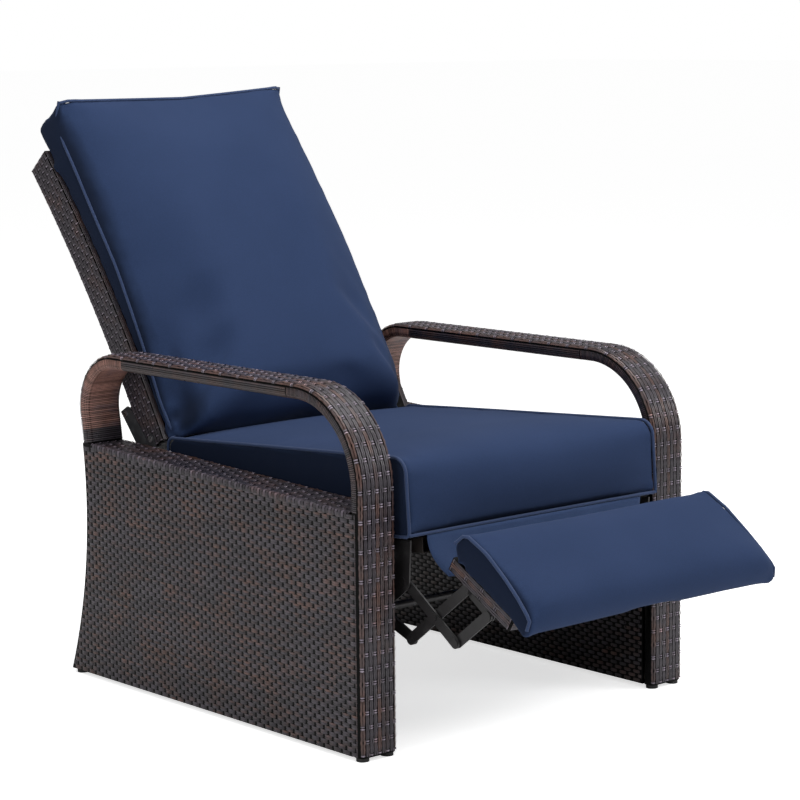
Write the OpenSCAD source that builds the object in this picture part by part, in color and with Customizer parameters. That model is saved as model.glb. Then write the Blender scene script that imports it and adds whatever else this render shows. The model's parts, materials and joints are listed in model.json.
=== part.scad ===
// Reclining patio armchair: woven side panels on bent steel tube, a woven back on
// two side hinges, a scissor linkage that lifts the footrest, and three cushions.
// +Z is up, -Y is the front, X runs across. The origin is on the floor, under the
// middle of the chair's length and width. The pose is the half reclined one.

/* [Overall] */
// Width over both arms
overall_w = 700; // [696:1:760]
// Height of the arm's upper face above the floor
arm_top = 557; // [540:1:580]
// How far the posts' front face stands ahead of the datum line
post_front = 330; // [320:1:340]

/* [Arms and side panels] */
// Width of an arm and of the side panel under it
arm_w = 70; // [66:1:72]
// Thickness of the arm
arm_t = 22; // [22:0.5:26]
// Corner radius of the arm's section
arm_corner_r = 8; // [6:0.5:9]
// Outer radius of the bend at the front of the arm
front_bend_r = 150; // [120:1:165]
// Outer radius of the bend at the rear of the arm
rear_bend_r = 95; // [80:1:105]
// Radius of the hollow rear edge of the side panel
rear_edge_r = 800; // [750:10:900]
// How far the rear edge's foremost point lies behind the datum line
rear_edge_y = 382; // [376:1:395]
// Height of the rear edge's foremost point
rear_edge_z = 300; // [290:1:310]
// Height of the panel's upper face at the front post
panel_top_front = 377; // [370:1:390]
// Height of the panel's upper face at the rear
panel_top_rear = 402; // [396:1:410]
// Thickness of the woven skin
weave_t = 3; // [2.5:0.1:3]
// Height of the glides under the feet
glide_h = 6; // [4:0.5:10]
// Diameter of a glide
glide_d = 20; // [16:1:21]

/* [Side frame tubes] */
// Outer diameter of the bent tubes inside the arms
tube_d = 15.6; // [14:0.1:15.6]
// Wall of the bent tubes
tube_wall = 1.5; // [1:0.1:2]
// Diameter of the rear stretcher
stretcher_d = 22; // [18:0.5:22]
// Height of the rear stretcher's axis
stretcher_z = 150; // [120:1:180]

/* [Seat] */
// Height of the seat cushion's lower front edge
seat_z = 335; // [333:1:339]
// How far the seat cushion's front stands ahead of the datum line
seat_front = 348; // [346:1:354]
// Slope of the seat, falling towards the rear, in degrees
seat_tilt = 4.3; // [4:0.1:4.8]
// Width of the seat cushion
seat_w = 528; // [510:1:530]
// Length of the seat cushion
seat_l = 600; // [580:1:601]
// Thickness of the seat cushion at its edges
seat_t = 105; // [90:1:106]
// Rise of the seat cushion's middle over its edges
seat_crown = 13; // [8:0.5:14]
// Thickness of the woven deck
deck_t = 4; // [3:0.5:5]
// Width across the seat frame
seat_frame_w = 468; // [450:1:470]
// Side of the seat frame's square tube
seat_tube = 25; // [22:1:26]
// Wall of the seat frame's tube
seat_tube_wall = 1.5; // [1:0.1:2.5]
// Drop of the cloth flap under the seat's front
flap_drop = 72; // [50:1:75]
// Thickness of the flap's cloth
flap_t = 1.5; // [1.2:0.1:2]

/* [Back] */
// Width of the woven back
back_w = 544; // [543:0.1:544]
// Thickness of the woven back
back_t = 56; // [54:1:58]
// Radius of the back's front face, seen from the side
back_r = 2900; // [2800:50:3100]
// Lean of the back's face at its foot, from upright, in degrees
back_lean = 29; // [28.5:0.1:29.5]
// Where the back's face, run down to its foot, lies behind the datum line
back_foot_y = 248; // [247:0.5:250]
// Height of the foot of the back's face
back_foot_z = 384; // [383:0.5:387]
// How far the woven back starts above the foot, along the face
back_start = 32; // [31:0.5:34]
// Length along the face from the foot to the top of the woven back
back_end = 610; // [590:1:630]
// Diameter of the back's frame tube
back_tube_d = 25; // [22:0.5:26]
// Where the back cushion starts above the foot
back_pad_start = 45; // [45:1:50]
// Length along the face from the foot to the cushion's top
back_pad_end = 652; // [630:1:670]
// Width of the back cushion
back_pad_w = 524; // [510:1:526]
// Thickness of the back cushion at its edges
back_pad_t = 86; // [76:1:88]
// Rise of the back cushion's middle over its edges
back_crown = 9; // [5:0.5:12]

/* [Footrest] */
// Slope of the footrest as shown, falling towards the front, in degrees
foot_slope = 29.6; // [29:0.1:30.2]
// How far the cushion's rear edge stands ahead of the datum line
foot_rear = 447; // [446:0.5:449]
// Height of the cushion's rear upper edge
foot_z = 351; // [350:0.5:353]
// Length of the footrest cushion
foot_l = 190; // [180:1:200]
// Width of the footrest cushion
foot_w = 530; // [510:1:532]
// Thickness of the footrest cushion at its edges
foot_t = 35; // [32:1:35]
// Rise of the footrest cushion's middle over its edges
foot_crown = 10; // [5:0.5:12]
// Thickness of the woven footrest
foot_frame_t = 22; // [22:0.1:23]
// Width of the woven footrest
foot_frame_w = 516; // [510:1:530]
// Length of the woven footrest
foot_frame_l = 146; // [142:1:184]

/* [Linkage] */
// Thickness of the links and plates
plate_t = 3; // [2.5:0.1:3]
// Free space between two neighbouring links
layer_gap = 2; // [2:0.1:2.1]
// Distance of the mechanism plate's inner face from the middle
plate_x = 257; // [257:0.1:257.2]
// Width of the links
link_w = 17; // [15:0.5:18]
// Diameter of the pivot pins
pin_d = 8; // [7:0.5:8.5]
// Diameter of the bar that ties both cranks together
bar_d = 12; // [11:0.5:13]
// How far the lift link's pivot stands ahead of the datum line
lift_y = 321.7; // [320:0.1:323]
// Height of the lift link's pivot
lift_z = 263.5; // [262:0.1:265]
// Length of the lift link between its end pivots
lift_l = 135; // [133:0.1:137]
// Distance from the lift link's upper pivot to the crossing pivot
lift_cross = 78.92; // [78:0.01:80]
// Slope of the lift link as shown, in degrees
lift_slope = 34.71; // [34:0.01:36]
// Length of the scissor link between its end pivots
scissor_l = 157.8; // [156:0.1:160]
// Distance from the scissor link's lower pivot to the crossing pivot
scissor_cross = 73.84; // [73:0.01:75]
// Slope of the scissor link as shown, in degrees
scissor_slope = 37.89; // [37:0.01:39]
// How far the crank bar stands ahead of the datum line
crank_y = 247; // [245:0.5:249]
// Height of the crank bar
crank_z = 206; // [204:0.5:208]
// Length of the outer crank
crank_l = 60.1; // [58:0.1:62]
// Angle of the outer crank from straight down, in degrees
crank_turn = 13.3; // [12:0.1:14]
// How far the back's hinge lies behind the datum line
hinge_y = 292; // [291:0.5:293]
// Height of the back's hinge
hinge_z = 380; // [379:0.5:381]
// Length of the bracket's tail below the hinge
tail_l = 125; // [122:0.5:128]
// Angle of the tail from straight down, in degrees
tail_turn = 6; // [5:0.5:7]

/* [Hidden] */

$fn = 48;
// Segments on curves of a long radius
long_fn = 720;
// Overrun of a cut past the face it goes through
over = 1;
// Clearance round a fixed tube, and round a turning pin
slip = 0.2;
pin_slip = 0.05;
// Clearance between a cushion and what carries it
soft_gap = 0.3;

steel = [0.07, 0.07, 0.08];
zinc = [0.62, 0.62, 0.64];
wicker = [0.20, 0.16, 0.15];
navy = [0.17, 0.23, 0.38];
black = [0.05, 0.05, 0.05];

// Directions and points in the side view are [y, z] pairs from the datum line
function mix(a, b, share) = a + (b - a) * share;
function tang(a, ra, b, rb, way) =
    let (d = b - a, t = atan2(d[1], d[0]) + way * acos((ra - rb) / norm(d)))
    [a + ra * [cos(t), sin(t)], b + rb * [cos(t), sin(t)]];

// Arm band and side panel
panel_x = overall_w / 2 - arm_w;
arm_mid_x = overall_w / 2 - arm_w / 2;
post_y = -post_front + arm_t / 2;
post_back = -post_front + arm_t;
arm_z = arm_top - arm_t / 2;
front_c = [-post_front + front_bend_r, arm_top - front_bend_r];
edge_c = [rear_edge_y + rear_edge_r, rear_edge_z];
rear_c_z = arm_top - rear_bend_r;
bend_sum = rear_edge_r + rear_bend_r;
rear_c_y = edge_c[0] - sqrt(pow(bend_sum, 2) - pow(rear_c_z - rear_edge_z, 2));
rear_c = [rear_c_y, rear_c_z];
join_a = -asin((rear_c_z - rear_edge_z) / bend_sum);
line_r = rear_edge_r + arm_t / 2;
function rear_y(z) = edge_c[0] - sqrt(pow(line_r, 2) - pow(z - rear_edge_z, 2));
function rear_angle(z) = 180 + asin((rear_edge_z - z) / line_r);
join_gap = slip / line_r * 180 / PI;
top_slope = atan2(panel_top_rear - panel_top_front, rear_edge_y - post_back);
function top_z(y) = panel_top_front + (y - post_back) * tan(top_slope);
cavity_w = arm_w - 2 * weave_t;
cavity_t = arm_t - 2 * weave_t;
cavity_r = arm_corner_r - weave_t / 3;

// Tubes of the side frame
tube_r = tube_d / 2;
bore_r = tube_r - tube_wall;
rail_share = 0.96;
rail_r = tube_r * rail_share;
rail_bore_r = rail_r - tube_wall;
tube_in_x = panel_x + weave_t + slip + tube_r;
tube_out_x = overall_w / 2 - weave_t - slip - tube_r;
rail_z = glide_h + weave_t + slip + tube_r;
top_rail_drop = weave_t + slip + tube_r;
post_tie_share = 0.34;
rear_tie_share = 0.36;
tie_r = rail_r * rail_share;
stem_r = tube_r / 2;

// Seat plane: s runs rearwards, h stands up from the cushion's underside
function seat_at(s, h) = [
    -seat_front + s * cos(seat_tilt) + h * sin(seat_tilt),
    seat_z - s * sin(seat_tilt) + h * cos(seat_tilt)
];
deck_under = -soft_gap - deck_t;
frame_start = seat_l / 60;
frame_end = seat_l - frame_start;
mid_rail_h = deck_under - seat_tube * 1.03;
mid_rail_y = rear_y(seat_z - (seat_front + rear_edge_y) * tan(seat_tilt));
function mid_rail_at(y) = [
    y,
    seat_z + mid_rail_h / cos(seat_tilt) - (y + seat_front) * tan(seat_tilt)
];

// Back plane: s runs up the front face, h stands forward of it
function lean_at(s) = back_lean + s / back_r * 180 / PI;
back_c = [back_foot_y + back_r * cos(back_lean), back_foot_z - back_r * sin(back_lean)];
function back_at(s, h) = back_c + (back_r + h) * [-cos(lean_at(s)), sin(lean_at(s))];
back_tube_r = back_tube_d / 2;
back_tube_x = back_w / 2 - weave_t - slip - back_tube_r;
back_tube_h = -back_t / 2;
back_tube_s = back_start + weave_t + slip + back_tube_r;
back_tube_top = back_end - weave_t - slip - back_tube_r;

// Footrest plane: s runs forwards and down, h stands up from the cushion's upper edge
function foot_at(s, h) = [
    -foot_rear - s * cos(foot_slope) - h * sin(foot_slope),
    foot_z - s * sin(foot_slope) + h * cos(foot_slope)
];
foot_top = -foot_t - soft_gap;
foot_under = foot_top - foot_frame_t;
foot_start = (foot_l - foot_frame_l) * 0.15;
foot_end = foot_start + foot_frame_l;
foot_tube_h = foot_under + weave_t + slip + tube_r;

// Pivots
lift_base = [-lift_y, lift_z];
lift_dir = [-cos(lift_slope), -sin(lift_slope)];
lift_tip = lift_base + lift_l * lift_dir;
cross = lift_base + lift_cross * lift_dir;
scissor_dir = [-cos(scissor_slope), sin(scissor_slope)];
scissor_base = cross - scissor_cross * scissor_dir;
foot_pivot = scissor_base + scissor_l * scissor_dir;
carry_tip = foot_pivot + lift_tip - cross;
crank_base = [-crank_y, crank_z];
crank_tip = crank_base + crank_l * [-sin(crank_turn), -cos(crank_turn)];
hinge = [hinge_y, hinge_z];
tail_tip = hinge + tail_l * [-sin(tail_turn), -cos(tail_turn)];

// Links lie in layers, counted outwards from the mechanism plate
layer_step = plate_t + layer_gap;
function layer(n) = plate_x + n * layer_step;
link_r = link_w / 2;
pin_r = pin_d / 2;
bar_r = bar_d / 2;
head_r = pin_r * 1.75;
head_t = layer_gap * 0.7;
bolt_r = pin_r * 0.75;
bolt_head_r = pin_r * 1.4;
spacer_r = pin_r * 1.75;
hinge_r = bar_r;
hinge_head_r = hinge_r * 1.5;
ear_r = link_r * 1.88;
bolt_reach = tube_r * 0.6;

// The chair's length is centred on the origin
foot_reach = foot_rear + foot_l * cos(foot_slope);
back_reach = back_at(back_end, -back_t)[0];
centre_y = (back_reach - foot_reach) / 2;

module centred() {
    translate([0, -centre_y, 0]) children();
}

module sided(way) {
    if (way > 0) {
        children();
    } else {
        mirror([1, 0, 0]) children();
    }
}

module both() {
    children();
    mirror([1, 0, 0]) children();
}

// A plate with its outline in the side view
module slab(x0, t) {
    translate([x0, 0, 0]) rotate([90, 0, 90]) linear_extrude(t) children();
}

// A round bar lying across
module rod(p, x0, x1, r) {
    translate([x0, p[0], p[1]]) rotate([0, 90, 0]) cylinder(h = x1 - x0, r = r);
}

// Sections are drawn in [x, depth] and swept along lines and bends of the side view
module run(a, b) {
    d = b - a;
    translate([0, a[0], a[1]]) rotate([atan2(d[1], d[0]) - 90, 0, 0])
        linear_extrude(norm(d)) children();
}

module bend(c, r, a0, a1) {
    translate([0, c[0], c[1]]) rotate([90, 0, 90]) rotate([0, 0, a0])
        rotate_extrude(angle = a1 - a0, $fn = long_fn) translate([r, 0]) rotate([0, 0, 90]) children();
}

module rounded(w, t, r) {
    square([w - 2 * r, t], center = true);
    square([w, t - 2 * r], center = true);
    for (sx = [-1, 1], sy = [-1, 1]) {
        translate([sx * (w / 2 - r), sy * (t / 2 - r)]) circle(r);
    }
}

// The post, the front bend, the arm and the rear bend
module arm_path(start_z) {
    run([post_y, start_z], [post_y, front_c[1]]) children();
    bend(front_c, front_bend_r - arm_t / 2, 90, 180) children();
    run([front_c[0], arm_z], [rear_c[0], arm_z]) children();
    translate([0, 2 * rear_c[0], 0]) mirror([0, 1, 0])
        bend(rear_c, rear_bend_r - arm_t / 2, 90, 180 - join_a) children();
}

// The hollow curve below the rear bend
module rear_path(early, end_z) {
    bend(edge_c, line_r, 180 + join_a + join_gap - early, rear_angle(end_z)) children();
}

module two_tubes(r) {
    translate([tube_in_x, 0]) circle(r);
    translate([tube_out_x, 0]) circle(r);
}

module upper_rails(y0, r) {
    top_end = rear_y(panel_top_rear - top_rail_drop);
    run([y0, top_z(y0) - top_rail_drop], [top_end, top_z(top_end) - top_rail_drop]) two_tubes(r);
    run(mid_rail_at(y0), mid_rail_at(mid_rail_y)) translate([tube_in_x, 0]) circle(r);
}

module low_rails(y0, y1, r) {
    run([y0, rail_z], [y1, rail_z]) two_tubes(r);
}

arm_ties = [[post_y, post_tie_share * arm_top], [0, arm_z]];
side_ties = [[rear_y(rear_tie_share * arm_top), rear_tie_share * arm_top]];
hinge_bolts_at = [
    [rear_y(hinge_z - link_r), hinge_z - link_r],
    [rear_y(rear_edge_z + link_r), rear_edge_z + link_r],
];
stretcher_at = [rear_y(stretcher_z), stretcher_z];
stretcher_reach = stretcher_d * 1.2;
stretcher_bolts_at = [
    [rear_y(stretcher_z - stretcher_reach), stretcher_z - stretcher_reach],
    [rear_y(stretcher_z + stretcher_reach), stretcher_z + stretcher_reach],
];
mid_bolt_shares = [0.034, 0.31, 0.585];
mid_bolts_at = [for (k = mid_bolt_shares) mid_rail_at(post_y + k * (rear_edge_y - post_y) * 0.95)];
seat_bolt_shares = [0.1, 0.5, 0.92];
seat_bolt_h = deck_under - seat_tube / 2;
seat_bolts_at = [for (k = seat_bolt_shares) seat_at(k * seat_l, seat_bolt_h)];
panel_bolts_at = concat(mid_bolts_at, hinge_bolts_at, stretcher_bolts_at);

// Two bent tubes that form the front post, the arm and the rear bend, open at their ends
module arm_tubes(way) {
    foot_tube_z = rail_z - tube_r;
    color(steel) centred() sided(way) difference() {
        union() {
            arm_path(foot_tube_z) two_tubes(tube_r);
            for (p = arm_ties) {
                rod(p, tube_in_x, tube_out_x, tie_r);
            }
        }
        arm_path(foot_tube_z - over) two_tubes(bore_r);
        for (p = arm_ties) {
            rod(p, tube_in_x, tube_out_x, tie_r - tube_wall);
        }
    }
}

// The rear tubes, which stand on the lower rails and have the upper rails plugged in
module side_frame(way) {
    end_z = rail_z + rail_r + tube_r / 2;
    color(steel) centred() sided(way) difference() {
        union() {
            rear_path(0, end_z) two_tubes(tube_r);
            for (p = side_ties) {
                rod(p, tube_in_x, tube_out_x, tie_r);
            }
        }
        rear_path(join_gap * over / slip, end_z - over) two_tubes(bore_r);
        upper_rails(post_y, rail_r + pin_slip);
        for (p = side_ties) {
            rod(p, tube_in_x, tube_out_x, tie_r - tube_wall);
        }
        for (p = concat(hinge_bolts_at, stretcher_bolts_at)) {
            rod(p, tube_in_x - 2 * tube_r, tube_in_x, bolt_r + slip);
        }
    }
}

// The straight rails between the front post and the rear tubes
module panel_rails(way) {
    front_y = post_y + tube_r;
    low_end = rear_y(rail_z) + tube_r / 2;
    color(steel) centred() sided(way) difference() {
        union() {
            upper_rails(front_y, rail_r);
            low_rails(front_y, low_end, rail_r);
        }
        upper_rails(front_y - over, rail_bore_r);
        low_rails(front_y - over, low_end + over, rail_bore_r);
        for (p = mid_bolts_at) {
            rod(p, tube_in_x - 2 * tube_r, tube_in_x, bolt_r + slip);
        }
    }
}

// The woven band round the post, the arm and the rear bend, open at both ends
module arm_wicker(way) {
    rail_back = post_y + arm_t;
    color(wicker) centred() sided(way) difference() {
        arm_path(glide_h) translate([arm_mid_x, 0]) rounded(arm_w, arm_t, arm_corner_r);
        arm_path(glide_h - over) translate([arm_mid_x, 0]) rounded(cavity_w, cavity_t, cavity_r);
        run([post_y, rail_z], [rail_back, rail_z]) two_tubes(rail_r + slip);
        run([post_y, top_z(post_y) - top_rail_drop], [rail_back, top_z(rail_back) - top_rail_drop])
            two_tubes(rail_r + slip);
        run(mid_rail_at(post_y), mid_rail_at(rail_back)) translate([tube_in_x, 0]) circle(rail_r + slip);
    }
}

// The wrapped upright from the rear bend down to the side panel
module upright_wicker(way) {
    cut_z = panel_top_rear - 2 * arm_t;
    color(wicker) centred() sided(way) difference() {
        rear_path(0, cut_z) translate([arm_mid_x, 0]) rounded(arm_w, arm_t, arm_corner_r);
        rear_path(join_gap * over / slip, cut_z - over)
            translate([arm_mid_x, 0]) rounded(cavity_w, cavity_t, cavity_r);
        slab(panel_x - over, arm_w + 2 * over) polygon([
            [0, top_z(0)], [2 * rear_edge_y, top_z(2 * rear_edge_y)],
            [2 * rear_edge_y, 0], [0, 0]
        ]);
    }
}

module panel_outline(inset, front_inset) {
    far = 2 * rear_edge_y;
    difference() {
        polygon([
            [post_back + front_inset, glide_h + inset],
            [post_back + front_inset, top_z(post_back + front_inset) - inset],
            [far, top_z(far) - inset],
            [far, glide_h + inset]
        ]);
        translate(edge_c) circle(rear_edge_r + inset, $fn = long_fn);
    }
}

// The woven box of the side panel: outer face, top, rear and underside
module panel_wicker(way) {
    far = 2 * rear_edge_y;
    color(wicker) centred() sided(way) difference() {
        slab(panel_x + weave_t, arm_w - weave_t) panel_outline(0, 0);
        slab(panel_x, arm_w - weave_t) panel_outline(weave_t, -over);
        slab(panel_x, arm_w - weave_t) intersection() {
            difference() {
                polygon([
                    [0, panel_top_front], [far, panel_top_front],
                    [far, panel_top_rear + arm_t], [0, panel_top_rear + arm_t]
                ]);
                translate(edge_c) circle(rear_edge_r + weave_t, $fn = long_fn);
            }
            translate(edge_c) circle(rear_edge_r + arm_t - weave_t, $fn = long_fn);
        }
        for (x = [tube_in_x, tube_out_x]) {
            translate([x, rear_y(rail_z), 0]) cylinder(h = rail_z, r = stem_r + slip);
        }
    }
}

module panel_liner(way) {
    color(wicker) centred() sided(way) difference() {
        slab(panel_x, weave_t) panel_outline(0, 0);
        for (p = panel_bolts_at) {
            rod(p, panel_x - over, panel_x + 2 * weave_t, bolt_r + slip);
        }
    }
}

module foot_glides() {
    front_stem_r = bore_r - slip;
    color(black) centred() both() for (x = [tube_in_x, tube_out_x]) {
        translate([x, post_y, 0]) {
            cylinder(h = glide_h, r = glide_d / 2);
            cylinder(h = rail_z, r = front_stem_r);
        }
        translate([x, rear_y(rail_z), 0]) {
            cylinder(h = glide_h, r = glide_d / 2);
            cylinder(h = rail_z - rail_r, r = stem_r);
        }
    }
}

// A stretcher between the side panels, with a flange bolted to each of them
module rear_stretcher() {
    flange_r = link_r;
    flange_x = panel_x - plate_t;
    color(steel) centred() difference() {
        union() {
            rod(stretcher_at, -flange_x, flange_x, stretcher_d / 2);
            both() slab(flange_x, plate_t) link_shape(stretcher_bolts_at[0], stretcher_bolts_at[1],
                flange_r, flange_r);
        }
        rod(stretcher_at, -panel_x - over, panel_x + over, stretcher_d / 2 - tube_wall);
        both() for (p = stretcher_bolts_at) {
            rod(p, flange_x - over, panel_x + over, bolt_r + slip);
        }
    }
}

module link_shape(a, b, ra, rb) {
    up = tang(a, ra, b, rb, 1);
    down = tang(a, ra, b, rb, -1);
    translate(a) circle(ra);
    translate(b) circle(rb);
    polygon([a, down[0], down[1], b, up[1], up[0]]);
}

module holes(points, r) {
    for (p = points) {
        translate(p) circle(r);
    }
}

module mechanism_plate(way) {
    top_h = deck_under * 1.4;
    low_h = top_h - seat_tube * 1.52;
    front_s = seat_l * 0.012;
    rear_s = seat_l * 0.957;
    knee = seat_at(seat_l * 0.325, low_h);
    color(steel) centred() sided(way) slab(layer(0), plate_t) difference() {
        union() {
            translate(lift_base) circle(ear_r);
            translate(crank_base) circle(ear_r);
            polygon(concat(
                [seat_at(front_s, top_h), lift_base - [ear_r, 0]],
                tang(lift_base, ear_r, crank_base, ear_r, -1),
                [tang(crank_base, ear_r, knee, 0, -1)[0], knee],
                [seat_at(rear_s, low_h), seat_at(rear_s, top_h)]
            ));
        }
        holes([lift_base], pin_r + pin_slip);
        holes([crank_base], bar_r + pin_slip);
        holes(concat(mid_bolts_at, seat_bolts_at), bolt_r + slip);
    }
}

// Fixed to the inner face of the side panel, it carries the back's hinge pin
module hinge_plate(way) {
    foot_r = link_r * 1.2;
    color(steel) centred() sided(way) slab(layer(4), plate_t) difference() {
        union() {
            translate(hinge) circle(ear_r);
            holes(hinge_bolts_at, foot_r);
            polygon(concat(
                tang(hinge, ear_r, hinge_bolts_at[1], foot_r, -1),
                tang(hinge_bolts_at[1], foot_r, hinge_bolts_at[0], foot_r, -1),
                tang(hinge_bolts_at[0], foot_r, hinge, ear_r, -1)
            ));
        }
        holes([hinge], hinge_r + pin_slip);
        holes(hinge_bolts_at, bolt_r + slip);
    }
}

// Bolts from the mechanism plate to the seat frame and, with a spacer, to the panels
module mechanism_bolts() {
    inner = layer(0);
    outer = layer(0) + plate_t;
    tube_x = seat_frame_w / 2;
    color(zinc) centred() both() {
        for (p = seat_bolts_at) {
            rod(p, tube_x - 2 * seat_tube_wall, outer + head_t, bolt_r);
            rod(p, tube_x, inner, spacer_r);
            rod(p, outer, outer + head_t, bolt_head_r);
        }
        for (p = mid_bolts_at) {
            rod(p, inner - head_t, tube_in_x - bolt_reach, bolt_r);
            rod(p, outer, panel_x, spacer_r);
            rod(p, inner - head_t, inner, bolt_head_r);
        }
    }
}

module hinge_bolts() {
    hinge_in = layer(4);
    flange_in = panel_x - plate_t;
    color(zinc) centred() both() {
        for (p = hinge_bolts_at) {
            rod(p, hinge_in - head_t, tube_in_x - bolt_reach, bolt_r);
            rod(p, hinge_in - head_t, hinge_in, bolt_head_r);
        }
        for (p = stretcher_bolts_at) {
            rod(p, flange_in - head_t, tube_in_x - bolt_reach, bolt_r);
            rod(p, flange_in - head_t, flange_in, bolt_head_r);
        }
    }
}

module seat_space() {
    translate([0, -seat_front, seat_z]) rotate([-seat_tilt, 0, 0]) children();
}

module seat_frame() {
    inner_w = seat_frame_w - 2 * seat_tube;
    bore = seat_tube - 2 * seat_tube_wall;
    length = frame_end - frame_start;
    low = deck_under - seat_tube;
    cross_s = [frame_start, frame_start + (length - seat_tube) / 2, frame_end - seat_tube];
    color(steel) centred() difference() {
        seat_space() difference() {
            union() {
                for (x = [-seat_frame_w / 2, inner_w / 2]) {
                    translate([x, frame_start, low]) cube([seat_tube, length, seat_tube]);
                }
                for (s = cross_s) {
                    translate([-inner_w / 2 - seat_tube_wall, s, low])
                        cube([inner_w + 2 * seat_tube_wall, seat_tube, seat_tube]);
                }
            }
            for (x = [-seat_frame_w / 2, inner_w / 2]) {
                translate([x + seat_tube_wall, frame_start - over, low + seat_tube_wall])
                    cube([bore, length + 2 * over, bore]);
            }
            for (s = cross_s) {
                translate([-inner_w / 2 - seat_tube_wall * 2, s + seat_tube_wall, low + seat_tube_wall])
                    cube([inner_w + 4 * seat_tube_wall, bore, bore]);
            }
        }
        both() for (p = seat_bolts_at) {
            rod(p, seat_frame_w / 2 - 2 * seat_tube_wall, seat_frame_w / 2 + over, bolt_r + slip);
        }
    }
}

module seat_deck() {
    deck_w = seat_w * 0.977;
    color(wicker) centred() seat_space() translate([-deck_w / 2, frame_start * 0.8, deck_under])
        cube([deck_w, frame_end - frame_start * 0.8, deck_t]);
}

// Cushions are closed nets over an n by n grid; u and v run from -1 to 1
pad_n = 20;
pad_draw = 3;
pad_bulge = 4;
function pad_x(u, v, w) = u * (w / 2 - pad_draw * (1 - v * v));
function pad_s(u, v, l) = l / 2 + v * (l / 2 - pad_draw * (1 - u * u));
function pad_rise(u, v) = (1 - pow(abs(u), 3)) * (1 - pow(abs(v), 3));
function ring_uv(k, n) = let (side = floor(k / n), t = -1 + 2 * (k - side * n) / n)
    side == 0 ? [t, -1] : side == 1 ? [1, t] : side == 2 ? [-t, 1] : [-1, -t];
function ring_id(k, n) = let (side = floor(k / n) % 4, i = k % n)
    side == 0 ? i : side == 1 ? n + i * (n + 1) : side == 2 ? (n + 1) * (n + 1) - 1 - i
    : n * (n + 1) - i * (n + 1);
function pad_points(w, l, low, t, crown, n) = concat(
    [for (j = [0:n], i = [0:n]) let (u = -1 + 2 * i / n, v = -1 + 2 * j / n)
        [pad_x(u, v, w), pad_s(u, v, l), low + t + crown * pad_rise(u, v)]],
    [for (j = [0:n], i = [0:n]) let (u = -1 + 2 * i / n, v = -1 + 2 * j / n)
        [pad_x(u, v, w), pad_s(u, v, l), low]],
    [for (k = [0:4 * n - 1]) let (q = ring_uv(k, n), out = pad_bulge)
        [pad_x(q[0], q[1], w + 2 * out), pad_s(q[0], q[1], l + 2 * out) - out, low + t / 2]]
);
function pad_faces(n) = let (m = (n + 1) * (n + 1), c = 2 * m, e = 4 * n) concat(
    [for (j = [0:n - 1], i = [0:n - 1], k = [0, 1]) let (a = j * (n + 1) + i, d = a + n + 1)
        k == 0 ? [a, d, d + 1] : [a, d + 1, a + 1]],
    [for (j = [0:n - 1], i = [0:n - 1], k = [0, 1]) let (a = m + j * (n + 1) + i, d = a + n + 1)
        k == 0 ? [a, d + 1, d] : [a, a + 1, d + 1]],
    [for (k = [0:e - 1], f = [0:3]) let (
            t0 = ring_id(k, n), t1 = ring_id((k + 1) % e, n), m0 = c + k, m1 = c + (k + 1) % e)
        f == 0 ? [t0, t1, m1] : f == 1 ? [t0, m1, m0]
        : f == 2 ? [m0, m1, m + t1] : [m0, m + t1, m + t0]]
);

module seat_cushion() {
    color(navy) centred() seat_space()
        polyhedron(pad_points(seat_w, seat_l, 0, seat_t, seat_crown, pad_n), pad_faces(pad_n));
}

// A cloth flap that hangs in soft folds from under the seat cushion's front
flap_n = 36;
flap_rows = 6;
flap_top_w = seat_w * 0.875;
flap_low_w = seat_w * 0.72;
flap_fold = flap_t * 1.6;
function flap_y(i, j) = -flap_fold * (j / flap_rows) * (0.6 + 0.4 * sin(i * 40));
function flap_point(i, j, back) = let (
        w = mix(flap_top_w, flap_low_w, pow(j / flap_rows, 2)), top = seat_at(flap_t * 2, 0))
    [w * (i / flap_n - 1 / 2), top[0] + flap_y(i, j) - back * flap_t, top[1] - soft_gap
        - flap_drop * j / flap_rows];
function flap_id(i, j, side) = side * (flap_n + 1) * (flap_rows + 1) + j * (flap_n + 1) + i;
flap_edge = concat(
    [for (i = [0:flap_n - 1]) [i, 0]],
    [for (j = [0:flap_rows - 1]) [flap_n, j]],
    [for (i = [0:flap_n - 1]) [flap_n - i, flap_rows]],
    [for (j = [0:flap_rows - 1]) [0, flap_rows - j]]
);

module seat_flap() {
    points = [for (side = [0, 1], j = [0:flap_rows], i = [0:flap_n]) flap_point(i, j, side)];
    ends = len(flap_edge);
    faces = concat(
        [for (j = [0:flap_rows - 1], i = [0:flap_n - 1], k = [0, 1])
            k == 0 ? [flap_id(i, j, 0), flap_id(i, j + 1, 0), flap_id(i + 1, j + 1, 0)]
            : [flap_id(i, j, 0), flap_id(i + 1, j + 1, 0), flap_id(i + 1, j, 0)]],
        [for (j = [0:flap_rows - 1], i = [0:flap_n - 1], k = [0, 1])
            k == 0 ? [flap_id(i, j, 1), flap_id(i + 1, j + 1, 1), flap_id(i, j + 1, 1)]
            : [flap_id(i, j, 1), flap_id(i + 1, j, 1), flap_id(i + 1, j + 1, 1)]],
        [for (k = [0:ends - 1], f = [0, 1]) let (a = flap_edge[k], b = flap_edge[(k + 1) % ends])
            f == 0 ? [flap_id(a[0], a[1], 0), flap_id(b[0], b[1], 0), flap_id(b[0], b[1], 1)]
            : [flap_id(a[0], a[1], 0), flap_id(b[0], b[1], 1), flap_id(a[0], a[1], 1)]]
    );
    color(navy) centred() polyhedron(points, faces);
}

module headed_pin(p, x0, x1, r, hr) {
    rod(p, x0 - head_t, x1 + head_t, r);
    rod(p, x0 - head_t, x0, hr);
    rod(p, x1, x1 + head_t, hr);
}

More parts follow.
